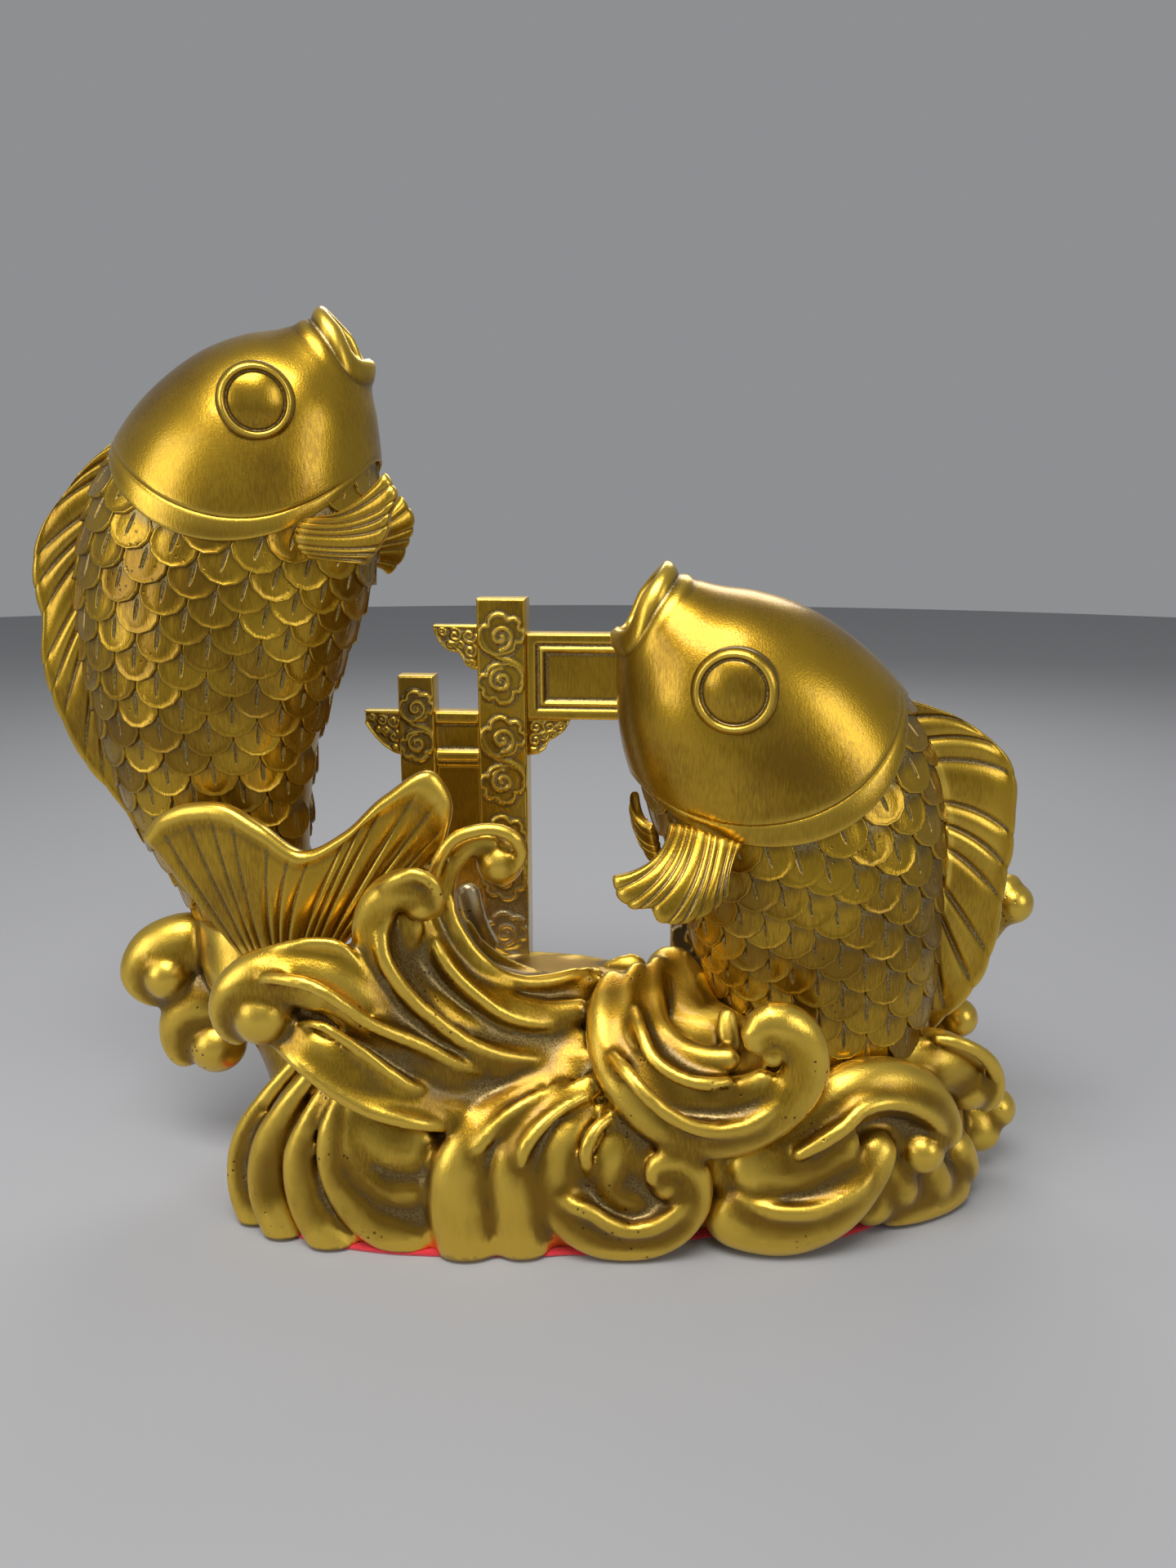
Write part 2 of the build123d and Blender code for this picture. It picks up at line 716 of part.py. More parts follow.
# Crests in the order that they were laid on, each trimmed to what lies under it
crests = (
    ("wave_crest_tall", crest_tall_shares, crest_tall_ball_shares),
    ("wave_crest_middle", crest_middle_shares, crest_middle_ball_shares),
    ("wave_crest_left", crest_left_shares, crest_left_ball_shares),
    ("wave_crest_tongue", tongue_shares, None),
    ("wave_crest_centre", crest_centre_shares, crest_centre_ball_shares),
    ("wave_crest_front", crest_front_shares, crest_front_ball_shares),
    ("wave_crest_right_low", crest_right_low_shares, None),
    ("wave_crest_right_middle", crest_right_middle_shares, crest_right_middle_ball_shares),
    ("wave_crest_right_high", crest_right_high_shares, crest_right_high_ball_shares),
    ("wave_crest_back_right", crest_back_right_shares, crest_back_right_ball_shares),
    ("wave_knob_left_upper", knob_upper_shares, knob_upper_ball_shares),
    ("wave_knob_left_lower", knob_lower_shares, knob_lower_ball_shares),
)
under = [dome_room, carp_room["left_carp"], carp_room["right_carp"], *post_room, *fin_room]
for name, rows, ball in crests:
    save(cut(ribbon(rows, ball), *under), name)
    under.append(ribbon(rows, ball, glue_gap))
knobs = []
for ball in (knob_right_upper_shares, knob_right_lower_shares):
    knobs.append(cut(curl(ball), *under))
save(Compound(knobs), "wave_knobs_right")
save(cut(tail_fin, *under), "left_carp_tail_fin")
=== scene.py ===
import math
import bmesh
import bpy
import numpy as np
from mathutils import Matrix, Vector


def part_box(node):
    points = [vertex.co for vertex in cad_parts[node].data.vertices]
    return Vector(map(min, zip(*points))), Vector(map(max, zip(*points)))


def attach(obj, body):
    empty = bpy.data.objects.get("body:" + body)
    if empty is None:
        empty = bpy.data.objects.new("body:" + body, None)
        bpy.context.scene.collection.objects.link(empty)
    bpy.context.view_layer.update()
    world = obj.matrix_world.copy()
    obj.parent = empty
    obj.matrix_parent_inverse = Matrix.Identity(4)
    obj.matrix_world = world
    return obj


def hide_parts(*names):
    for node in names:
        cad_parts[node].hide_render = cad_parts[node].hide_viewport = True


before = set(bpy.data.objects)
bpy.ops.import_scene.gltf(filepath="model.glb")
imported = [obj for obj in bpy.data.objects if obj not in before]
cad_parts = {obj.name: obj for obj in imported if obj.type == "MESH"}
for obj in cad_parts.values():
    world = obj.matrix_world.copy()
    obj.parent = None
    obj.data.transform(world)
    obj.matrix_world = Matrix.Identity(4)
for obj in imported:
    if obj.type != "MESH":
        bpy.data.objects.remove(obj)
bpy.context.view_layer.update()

# Studio: a pale floor in a grey room, with soft lamps over and beside the figurine.
# The camera stands where the photograph was taken, about a forearm in front of the carps and
# a little above their middle.
mm = 0.001
photo_width = 1440
photo_height = 1920
focal_pixels = 1442
film_size = 36
camera_place = np.array((8.0, -372.0, 219.0))
camera_dip = math.radians(13)
room_grey = (0.27, 0.275, 0.285, 1)
floor_colour = (0.36, 0.36, 0.37, 1)
floor_radius = 2.5
floor_sides = 96
lamps = (
    ("overhead", (-0.15, -0.45, 0.95), 0.70, 0.45, 9.0),
    ("left", (-0.90, -0.60, 0.50), 0.50, 0.70, 3.0),
    ("right", (0.85, -0.75, 0.55), 0.40, 0.60, 2.2),
    ("behind", (0.10, 0.85, 0.80), 0.80, 0.40, 4.0),
)
lamp_target = Vector((0.0, 0.0, 0.12))


def add(tree, kind, values=None, links=None, **settings):
    """One node of a material or a modifier, with its settings, values and links."""
    node = tree.nodes.new(kind)
    for key, value in settings.items():
        setattr(node, key, value)
    for key, value in (values or {}).items():
        node.inputs[key].default_value = value
    for key, socket in (links or {}).items():
        tree.links.new(socket, node.inputs[key])
    return node


def new_material(name):
    """An empty material, with its node tree and the shader that ends it."""
    material = bpy.data.materials.new(name)
    material.use_nodes = True
    tree = material.node_tree
    tree.nodes.clear()
    shader = tree.nodes.new("ShaderNodeBsdfPrincipled")
    add(tree, "ShaderNodeOutputMaterial", links={"Surface": shader.outputs["BSDF"]})
    return material, tree, shader


camera = bpy.data.objects.new("camera", bpy.data.cameras.new("camera"))
camera.data.lens = focal_pixels / photo_height * film_size
camera.data.sensor_width = film_size
camera.location = camera_place * mm
camera.rotation_euler = (math.radians(90) - camera_dip, 0, 0)
bpy.context.scene.collection.objects.link(camera)
bpy.context.scene.camera = camera
bpy.context.scene.view_settings.view_transform = "Standard"

world = bpy.data.worlds.new("grey_room")
world.use_nodes = True
world.node_tree.nodes["Background"].inputs["Color"].default_value = room_grey
bpy.context.scene.world = world
for name, place, wide, high, power in lamps:
    lamp = bpy.data.objects.new("lamp_" + name, bpy.data.lights.new(name, "AREA"))
    lamp.data.shape = "RECTANGLE"
    lamp.data.size = wide
    lamp.data.size_y = high
    lamp.data.energy = power
    lamp.location = place
    lamp.rotation_euler = (lamp_target - lamp.location).to_track_quat("-Z", "Y").to_euler()
    bpy.context.scene.collection.objects.link(lamp)

floor_mesh = bpy.data.meshes.new("floor")
disc = bmesh.new()
bmesh.ops.create_circle(disc, cap_ends=True, segments=floor_sides, radius=floor_radius)
disc.to_mesh(floor_mesh)
disc.free()
floor = bpy.data.objects.new("floor", floor_mesh)
bpy.context.scene.collection.objects.link(floor)
floor_material, tree, shader = new_material("floor_paper")
shader.inputs["Base Color"].default_value = floor_colour
shader.inputs["Roughness"].default_value = 0.9
floor_mesh.materials.append(floor_material)

# Felt: a red sheet cut to the outline of the casting and glued under it. Its edge shows as a
# thin uneven red line along the table.
felt_low, felt_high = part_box("felt_pad")
felt_thickness = (felt_high.z - felt_low.z) / mm
felt_columns = 320
felt_fuzz = 0.35
felt_colours = ((0.45, 0.012, 0.02, 1), (0.72, 0.03, 0.045, 1))
fray_seed = 5
level_reach = 0.05
# Rings from under its middle to over it: way in from the edge, and shares of height and fray
felt_rows = ((4, 0, 0), (0.4, 0, 0.4), (0, 0.3, 1), (-0.1, 0.6, 1), (0.3, 1, 0.5), (4, 1, 0))


def outline_of(node, level, columns):
    """The outer line of a CAD node at a level, as evenly turned points in millimetres."""
    place = np.array([v.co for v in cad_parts[node].data.vertices]) / mm
    rim = place[np.abs(place[:, 2] - level) < level_reach][:, :2]
    centre = (rim.min(axis=0) + rim.max(axis=0)) / 2
    offset = rim - centre
    turns = np.arctan2(offset[:, 1], offset[:, 0])
    order = np.argsort(turns)
    reach = np.linalg.norm(offset, axis=1)[order]
    at = np.linspace(-math.pi, math.pi, columns, endpoint=False)
    spread = np.interp(at, turns[order], reach, period=2 * math.pi)
    return centre, at, spread


def finish(name, mesh, material, nodes):
    """A finished piece that rides on the figurine in place of its CAD nodes."""
    thing = bpy.data.objects.new(name, mesh)
    bpy.context.scene.collection.objects.link(thing)
    mesh.materials.clear()
    mesh.materials.append(material)
    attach(thing, "root")
    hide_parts(*nodes)
    return thing


def mesh_of(name, points, faces):
    """A smooth closed mesh in metres, from points in millimetres, its faces turned outwards."""
    mesh = bpy.data.meshes.new(name)
    mesh.from_pydata((np.asarray(points) * mm).tolist(), [], faces)
    shape = bmesh.new()
    shape.from_mesh(mesh)
    bmesh.ops.recalc_face_normals(shape, faces=shape.faces)
    shape.to_mesh(mesh)
    shape.free()
    mesh.shade_smooth()
    return mesh


def skin(rings):
    """Points and faces of a closed skin through rings of points, with its two ends capped."""
    rings = np.asarray(rings)
    count, around = rings.shape[:2]
    start = (np.arange(count - 1)[:, None] * around + np.arange(around)).ravel()
    beside = (np.arange(count - 1)[:, None] * around + (np.arange(around) + 1) % around).ravel()
    faces = np.stack((start, beside, beside + around, start + around), axis=1).tolist()
    points = np.concatenate((rings.reshape(-1, 3), rings[:1].mean(axis=1), rings[-1:].mean(axis=1)))
    for centre, first in ((count * around, 0), (count * around + 1, (count - 1) * around)):
        for column in range(around):
            faces.append([centre, first + column, first + (column + 1) % around])
    return points, faces


centre, turns, spread = outline_of("felt_pad", felt_high.z / mm, felt_columns)
frays = np.random.default_rng(fray_seed).normal(0, 1, felt_columns)
frays = (frays + np.roll(frays, 1) + np.roll(frays, 2)) / 3 * felt_fuzz
rings = []
for reach_in, height, fray_share in felt_rows:
    reach = spread - reach_in + frays * fray_share
    flat = centre + np.stack((np.cos(turns), np.sin(turns)), axis=1) * reach[:, None]
    rings.append(np.column_stack((flat, np.full(felt_columns, height * felt_thickness))))
felt_material, tree, shader = new_material("red_felt")
place = add(tree, "ShaderNodeTexCoord").outputs["Object"]
fibres = add(tree, "ShaderNodeTexNoise", {"Scale": 900.0, "Detail": 6.0}, {"Vector": place})
ramp = add(tree, "ShaderNodeValToRGB", links={"Fac": fibres.outputs["Fac"]})
ramp.color_ramp.elements[0].color = felt_colours[0]
ramp.color_ramp.elements[1].color = felt_colours[1]
bump = add(tree, "ShaderNodeBump", {"Strength": 0.5, "Distance": 0.0004},
           {"Height": fibres.outputs["Fac"]})
tree.links.new(ramp.outputs["Color"], shader.inputs["Base Color"])
tree.links.new(bump.outputs["Normal"], shader.inputs["Normal"])
shader.inputs["Roughness"].default_value = 0.95
shader.inputs["Sheen Weight"].default_value = 0.4
felt = finish("felt_sheet", mesh_of("felt_sheet", *skin(rings)), felt_material, ["felt_pad"])

# Waves: one resin casting, modelled in clay as rounded ribbons of water that meet in
# sharp creases and roll up into curls. It is sprayed gold over a dark ground, and a pale
# wax is left in the creases.
wave_voxel = 0.9
wave_triangles = 190000
ribbon_sides = 20
ribbon_steps = 48
ribbon_tip_share = 0.02
ribbon_height_share = 0.66
roll_height_share = 0.72
roll_swell = 1.12
roll_sink = 3.5
ribbon_swell = 1.08
sheet_height_share = 0.4
ribbon_inward = np.array((0.0, 0.92, -0.39))
sink_start_share = 0.45
ease_share = 0.5
ease_rounds = 3
fillet_share = 0.5
fillet_rounds = 42
hollow_rounds = 24
hollow_depth = 1.0
raw_reach = 8.0
raw_soft = 3
raw_share = 0.8
raw_depths = (-24, 40)
# Painted shade on the water: tones of the paint at heights, darker below
water_shade_heights = (0, 35, 75)
water_shade_tones = (-1.8, -1.0, -0.3)
rim_columns = 120
tiny = 1e-9

# Each ribbon: pixel across, pixel down, depth of its front in mm, and half width in pixels
front_ribbons = (
    # The left crest, a wide sheet that rolls up at its end, and the tongue of water below it
    ((620, 1338, -44, 12), (567, 1329, -48, 19), (535, 1312, -50, 23), (500, 1288, -51, 28),
     (465, 1258, -52, 32), (432, 1224, -53, 38), (404, 1200, -53, 43), (374, 1193, -53, 41),
     (338, 1192, -53, 34), (300, 1197, -53, 28), (277, 1215, -53, 22), (271, 1240, -52, 19),
     (283, 1261, -50, 17), (306, 1270, -48, 14)),
    ((600, 1366, -50, 14), (540, 1362, -54, 21), (495, 1349, -56, 25), (454, 1328, -57, 30),
     (415, 1301, -57, 30), (380, 1279, -55, 21), (348, 1266, -51, 11)),
    # The middle crest and the ribbons inside it
    ((650, 1314, -42, 16), (600, 1303, -45, 20), (550, 1282, -46, 22), (510, 1250, -47, 22),
     (478, 1210, -47, 23), (457, 1165, -47, 25), (453, 1128, -47, 24), (468, 1098, -48, 23),
     (494, 1084, -49, 22), (516, 1090, -49, 21), (523, 1108, -48, 18)),
    ((725, 1274, -36, 14), (665, 1282, -38, 17), (620, 1279, -40, 18), (575, 1264, -42, 18),
     (537, 1240, -43, 18), (505, 1210, -43, 18), (486, 1172, -42, 17), (482, 1130, -41, 16)),
    ((725, 1236, -32, 14), (660, 1244, -36, 19), (618, 1234, -38, 20), (580, 1210, -38, 20),
     (548, 1180, -38, 19), (524, 1145, -37, 16), (512, 1110, -36, 12)),
    # The tall crest in front of the gate
    ((745, 1196, -20, 12), (690, 1210, -25, 16), (640, 1210, -29, 18), (600, 1198, -31, 20),
     (566, 1168, -32, 20), (545, 1130, -32, 19), (537, 1095, -32, 18), (545, 1062, -32, 16),
     (563, 1040, -32, 15), (590, 1029, -32, 14), (614, 1034, -32, 12)),
    # The centre crest, which rolls up in front of the right carp: three ribbons and a short one
    ((760, 1190, -22, 16), (742, 1240, -38, 22), (748, 1290, -48, 26), (770, 1332, -55, 28),
     (808, 1368, -59, 30), (855, 1388, -61, 31), (905, 1384, -62, 31), (950, 1362, -62, 30),
     (985, 1325, -62, 28), (992, 1290, -62, 26), (974, 1260, -62, 26), (948, 1252, -62, 25),
     (930, 1270, -62, 21), (936, 1294, -62, 12)),
    ((787, 1180, -20, 12), (768, 1228, -36, 16), (776, 1272, -46, 19), (800, 1310, -52, 21),
     (838, 1335, -56, 22), (880, 1343, -58, 22), (920, 1335, -59, 19), (948, 1315, -59, 13)),
    ((808, 1172, -16, 10), (800, 1222, -33, 15), (808, 1262, -42, 18), (836, 1290, -47, 19),
     (872, 1300, -50, 18), (908, 1296, -51, 13)),
    ((892, 1232, -40, 10), (892, 1262, -44, 13), (898, 1292, -47, 11)),
    # The front shell of water, four ribbons that fan out and roll up in a low curl
    ((722, 1300, -40, 12), (624, 1352, -50, 16), (582, 1388, -56, 24), (563, 1425, -60, 32),
     (560, 1470, -62, 38), (570, 1520, -62, 38), (588, 1560, -60, 36)),
    ((760, 1308, -44, 10), (674, 1354, -52, 12), (642, 1386, -57, 20), (629, 1420, -60, 27),
     (628, 1460, -62, 30), (636, 1510, -62, 31), (650, 1552, -60, 31)),
    ((735, 1350, -48, 14), (700, 1385, -55, 22), (682, 1425, -59, 30), (690, 1470, -61, 34),
     (725, 1505, -62, 32), (775, 1518, -62, 28), (822, 1504, -62, 26), (850, 1472, -62, 22),
     (850, 1438, -62, 19), (828, 1420, -62, 17), (804, 1432, -62, 14), (802, 1456, -62, 10)),
    ((795, 1366, -50, 10), (760, 1390, -55, 19), (744, 1422, -58, 24), (752, 1454, -58, 23),
     (780, 1472, -58, 17), (806, 1474, -57, 10)),
    # The left shell of water, six ribbons that fan out below the tongue
    ((372, 1290, -34, 9), (324, 1346, -37, 11), (300, 1385, -38, 14), (291, 1420, -39, 15),
     (292, 1455, -41, 15), (304, 1490, -43, 15), (326, 1522, -46, 14)),
    ((392, 1302, -40, 10), (348, 1358, -43, 14), (329, 1395, -44, 20), (324, 1425, -45, 24),
     (326, 1460, -47, 25), (337, 1495, -50, 23), (356, 1530, -52, 21)),
    ((408, 1320, -44, 10), (376, 1376, -48, 13), (364, 1415, -50, 19), (366, 1450, -52, 21),
     (378, 1485, -54, 23), (400, 1517, -56, 25), (428, 1548, -56, 25)),
    ((421, 1334, -47, 10), (401, 1391, -52, 14), (408, 1435, -54, 20), (430, 1472, -56, 25),
     (462, 1498, -57, 29), (500, 1512, -57, 31), (535, 1520, -56, 30)),
    ((432, 1348, -49, 9), (428, 1404, -53, 12), (448, 1437, -54, 16), (475, 1455, -55, 18),
     (505, 1458, -56, 18), (532, 1450, -56, 15)),
    ((450, 1352, -50, 9), (458, 1404, -52, 12), (486, 1423, -53, 15), (516, 1419, -54, 15),
     (538, 1406, -53, 11)),
    # The right crests, low, middle and high, and the lobes below them
    ((866, 1462, -56, 46), (915, 1484, -60, 48), (965, 1490, -61, 49), (1015, 1474, -60, 45),
     (1052, 1444, -57, 36), (1078, 1410, -53, 25), (1087, 1388, -50, 16)),
    ((900, 1392, -50, 22), (950, 1400, -54, 26), (1000, 1376, -55, 34), (1045, 1342, -53, 36),
     (1095, 1332, -50, 34), (1135, 1346, -47, 30), (1158, 1378, -45, 24), (1165, 1408, -44, 18)),
    ((1070, 1312, -33, 30), (1112, 1304, -35, 38), (1150, 1300, -34, 38), (1182, 1310, -31, 32),
     (1204, 1326, -28, 24)),
    ((1130, 1290, 4, 30), (1155, 1262, 6, 30), (1178, 1248, 6, 24)),
    ((1056, 1440, -50, 26), (1070, 1474, -50, 27), (1072, 1502, -49, 24)),
    ((1086, 1415, -47, 24), (1100, 1450, -47, 27), (1106, 1482, -46, 25)),
    ((1118, 1415, -40, 28), (1139, 1450, -40, 31), (1147, 1480, -39, 27)),
    ((1156, 1388, -30, 30), (1171, 1424, -30, 32), (1181, 1458, -28, 26)),
    ((1180, 1400, -16, 34), (1202, 1378, -12, 32), (1224, 1358, -8, 26)),
    # The two fat knobs on the left
    ((310, 1172, 6, 30), (262, 1157, 2, 34), (212, 1153, 0, 34), (178, 1168, -1, 30),
     (168, 1194, -1, 25), (186, 1212, 0, 20), (212, 1214, 2, 14)),
    ((310, 1240, 0, 26), (268, 1223, -3, 30), (234, 1229, -4, 30), (216, 1255, -4, 26),
     (221, 1283, -3, 22), (240, 1300, -2, 16)),
)
# Wide sheets of water a little behind the ribbons, in the same terms
sheets_behind = (
    ((620, 1345, -41, 30), (540, 1320, -45, 46), (470, 1285, -46, 50), (410, 1245, -45, 44),
     (372, 1228, -43, 28)),
    ((690, 1300, -35, 40), (610, 1275, -38, 56), (550, 1235, -38, 56), (512, 1180, -38, 46),
     (497, 1122, -36, 30)),
    ((745, 1240, -25, 40), (670, 1235, -29, 44), (610, 1215, -30, 44), (565, 1170, -29, 34),
     (550, 1120, -28, 22)),
    ((812, 1160, -10, 26), (830, 1205, -24, 38), (850, 1255, -36, 46), (900, 1290, -43, 48),
     (945, 1300, -46, 36)),
    ((700, 1350, -46, 40), (680, 1420, -55, 60), (720, 1475, -57, 58), (795, 1490, -57, 48),
     (838, 1455, -57, 36)),
    ((395, 1330, -39, 26), (402, 1400, -45, 54), (430, 1450, -49, 58), (490, 1476, -51, 50),
     (540, 1488, -52, 40)),
    ((850, 1400, -50, 40), (905, 1420, -54, 44), (960, 1420, -54, 40)),
    ((345, 1260, -45, 20), (385, 1262, -47, 26), (425, 1278, -48, 28), (470, 1300, -48, 26)),
    ((486, 1170, -40, 24), (492, 1135, -41, 26), (505, 1112, -42, 24)),
    ((1010, 1400, -48, 30), (1060, 1375, -46, 34), (1105, 1380, -44, 34), (1130, 1400, -42, 28)),
    ((1060, 1470, -46, 34), (1110, 1462, -43, 40), (1150, 1450, -37, 40), (1188, 1428, -27, 32)),
    ((895, 1425, -57, 34), (955, 1430, -58, 36), (1010, 1410, -56, 34), (1050, 1382, -53, 28)),
    ((600, 1342, -46, 32), (650, 1326, -44, 34), (700, 1312, -42, 32), (745, 1308, -42, 28)),
    ((742, 1345, -50, 28), (772, 1380, -54, 34), (790, 1420, -56, 34), (786, 1455, -57, 28)),
    ((640, 1202, 20, 18), (670, 1194, 22, 20), (705, 1188, 24, 20), (740, 1192, 24, 16)),
    ((735, 1204, 12, 20), (762, 1192, 14, 22), (795, 1186, 14, 22)),
    ((346, 1238, -47, 16), (372, 1243, -47, 19), (400, 1254, -47, 20)),
    ((415, 1360, -49, 24), (450, 1384, -52, 30), (490, 1400, -53, 32), (530, 1400, -53, 28)),
)
# Slim rolls along the edges and backs of the ribbons, in the same terms
front_rolls = (
    ((612, 1319, -46, 6), (559, 1303, -50, 7), (513, 1279, -53, 8), (480, 1266, -55, 8),
     (444, 1249, -58, 8), (422, 1233, -60, 8), (400, 1218, -61, 8), (379, 1207, -60, 8),
     (352, 1200, -59, 8), (324, 1198, -57, 7), (300, 1202, -55, 5)),
    ((624, 1327, -43, 5), (564, 1306, -46, 7), (537, 1289, -47, 7), (504, 1262, -48, 7),
     (480, 1238, -49, 7), (441, 1188, -50, 7), (413, 1158, -50, 7), (383, 1154, -50, 7),
     (350, 1159, -50, 7), (318, 1167, -50, 7), (288, 1174, -50, 6)),
    ((570, 1381, -52, 6), (521, 1378, -59, 8), (482, 1370, -61, 9), (443, 1357, -61, 9),
     (400, 1331, -60, 9), (357, 1297, -57, 8), (328, 1274, -52, 6)),
    ((540, 1346, -53, 5), (495, 1327, -56, 7), (454, 1297, -57, 7), (422, 1274, -57, 7),
     (389, 1255, -56, 6), (355, 1256, -52, 5)),
    ((722, 1295, -38, 7), (653, 1298, -42, 8), (597, 1288, -46, 9), (564, 1272, -48, 9),
     (537, 1252, -49, 9), (506, 1226, -50, 9), (484, 1200, -51, 9), (468, 1170, -51, 9),
     (464, 1138, -50, 9), (474, 1112, -50, 8)),
    ((530, 1122, -48, 6), (536, 1100, -50, 8), (528, 1080, -51, 8), (508, 1070, -51, 8),
     (482, 1077, -50, 8), (458, 1094, -49, 7)),
    ((713, 1246, -34, 6), (653, 1252, -38, 8), (622, 1244, -40, 8), (591, 1224, -41, 8),
     (564, 1201, -41, 8), (542, 1174, -41, 8), (526, 1145, -40, 7)),
    ((735, 1190, -20, 7), (700, 1194, -25, 8), (675, 1200, -28, 8), (642, 1202, -31, 8),
     (615, 1195, -33, 8), (591, 1178, -35, 8), (568, 1151, -35, 8), (553, 1124, -35, 8),
     (547, 1094, -35, 7)),
    ((531, 1100, -35, 6), (530, 1072, -36, 8), (540, 1046, -36, 8), (556, 1026, -36, 8),
     (580, 1017, -36, 8), (606, 1015, -36, 8), (628, 1024, -36, 8), (638, 1043, -35, 8),
     (630, 1062, -35, 7), (608, 1072, -34, 6)),
    ((744, 1286, -50, 7), (769, 1315, -58, 9), (792, 1342, -62, 9), (822, 1367, -63.5, 9),
     (859, 1383, -64, 9), (891, 1385, -64, 9), (925, 1376, -64, 9), (950, 1360, -64, 8),
     (968, 1338, -64, 6)),
    ((776, 1230, -39, 7), (785, 1262, -48, 8), (801, 1297, -55, 8), (833, 1320, -59, 8),
     (868, 1328, -61, 8), (900, 1324, -61, 6)),
    ((564, 1424, -62, 6), (582, 1408, -60, 8), (603, 1384, -57, 9), (636, 1357, -54, 8),
     (679, 1335, -49, 7), (714, 1322, -44, 5)),
    ((632, 1446, -63, 6), (645, 1402, -61, 8), (664, 1378, -58, 8), (690, 1357, -54, 7),
     (722, 1341, -50, 6), (750, 1331, -46, 4)),
    ((668, 1455, -62, 7), (699, 1476, -63.5, 9), (725, 1487, -64, 9), (746, 1500, -64, 9),
     (768, 1508, -64, 9), (794, 1506, -64, 9), (820, 1494, -64, 9), (840, 1476, -64, 8),
     (848, 1456, -64, 6)),
    ((722, 1446, -60, 6), (718, 1408, -60, 8), (728, 1386, -58, 8), (748, 1368, -54, 7),
     (772, 1354, -50, 5)),
    ((974, 1421, -62, 7), (1009, 1400, -61, 9), (1039, 1378, -59, 9), (1056, 1361, -57, 9),
     (1080, 1352, -55, 9), (1112, 1353, -52, 9), (1142, 1367, -49, 9), (1159, 1388, -47, 8),
     (1163, 1412, -46, 6)),
    ((900, 1466, -61, 7), (940, 1482, -63, 9), (986, 1486, -63.5, 9), (1032, 1471, -61, 9),
     (1059, 1450, -58, 9), (1075, 1422, -54, 8), (1080, 1396, -50, 6)),
    ((1146, 1272, -36, 6), (1172, 1276, -36, 8), (1197, 1286, -35, 8), (1216, 1303, -33, 9),
     (1224, 1326, -31, 9), (1220, 1348, -30, 8), (1205, 1361, -29, 6)),
)
# Round ends of the curls: pixel across, pixel down, depth of its front, and radius in pixels
curl_balls = (
    (312, 1240, -56, 41), (514, 1104, -49, 24), (610, 1052, -34, 30), (948, 1293, -62, 15),
    (820, 1450, -62, 24), (1136, 1412, -49, 29), (1193, 1330, -31, 32), (196, 1192, -5, 33),
    (256, 1279, -8, 36), (1226, 1358, -10, 26), (1180, 1246, 3, 25),
)
# A seam of bare filler in the tall crest, in the terms of a ribbon
raw_fillers = ((570, 1080, -10, 15), (577, 1120, -8, 17), (590, 1150, -2, 17), (602, 1164, 2, 15))
# Crest behind the right carp, in mm: place and radius
back_crest = ((109, 11, 34, 11), (126, 17, 55, 10), (142, 20, 73, 8), (153, 22, 87, 7), (158, 22, 95, 5))
back_crest_ball = (156, 20, 86, 7.6)
# Plain ribs on the back: count, lean, bend at both ends, and rows of spread, y, level and radius
back_rib_count = 15
back_rib_lean = 10
back_rib_lean_step = 1.7
back_rib_lean_level = 60
back_rib_end_bend = 9
back_rib_span = (-88, 132)
back_rib_rows = (
    (0.84, 30, 54, 4), (0.88, 40, 48, 7), (0.95, 48, 36, 8.5), (1.0, 51, 18, 9), (1.02, 51, -3, 9),
)
# The mound under the water: levels, and shares of its outline's reach
mound_levels = (
    (0.0, 0.94), (16.8, 0.96), (32.4, 0.89), (43.0, 0.70), (46.6, 0.45), (48.2, 0.22), (48.8, 0.06),
)
swell_rows = 12
# Swells on the mound: height, centre x and y, half length and half depth at each level
mound_swells = (
    ((14, -13, 0, 86, 44), (46, -18, 4, 70, 36), (58, -18, 8, 57, 29), (63, -18, 11, 42, 22)),
    ((14, -44, -4, 40, 36), (42, -46, -4, 36, 31), (66, -47, -5, 28, 24), (80, -48, -4, 18, 15)),
    ((14, -70, 0, 28, 38), (36, -76, 2, 24, 34), (52, -86, 5, 22, 30), (66, -97, 7, 24, 28),
     (86, -104, 11, 20, 21)),
    ((14, 88, -7, 48, 34), (36, 88, -9, 42, 31), (50, 88, -11, 32, 25)),
)


def seen(across, down, depth):
    """The place, depth millimetres along Y, that shows at a pixel of the photograph."""
    right = (across - photo_width / 2) / focal_pixels
    up = (photo_height / 2 - down) / focal_pixels
    forward = math.cos(camera_dip) + up * math.sin(camera_dip)
    ray = np.array((right, forward, -math.sin(camera_dip) + up * math.cos(camera_dip)))
    return camera_place + ray * ((depth - camera_place[1]) / forward)


def smooth(rows, count, lead=3):
    """Evenly spaced rows on a smooth curve through the given ones, which start with a place."""
    rows = np.asarray(rows, float)
    steps = np.linalg.norm(np.diff(rows[:, :lead], axis=0), axis=1)
    reach = np.concatenate(([0], np.cumsum(steps)))
    slopes = np.gradient(rows, reach, axis=0)
    at = np.linspace(0, reach[-1], count)
    low = np.clip(np.searchsorted(reach, at, side="right") - 1, 0, len(rows) - 2)
    span = steps[low][:, None]
    t = ((at - reach[low]) / steps[low])[:, None]
    start = rows[low] * (2 * t ** 3 - 3 * t ** 2 + 1) + slopes[low] * span * (t ** 3 - 2 * t ** 2 + t)
    return start + rows[low + 1] * (3 * t ** 2 - 2 * t ** 3) + slopes[low + 1] * span * (t ** 3 - t ** 2)


def unit(vectors):
    """The same directions with a length of one."""
    return vectors / np.maximum(np.linalg.norm(vectors, axis=-1, keepdims=True), tiny)


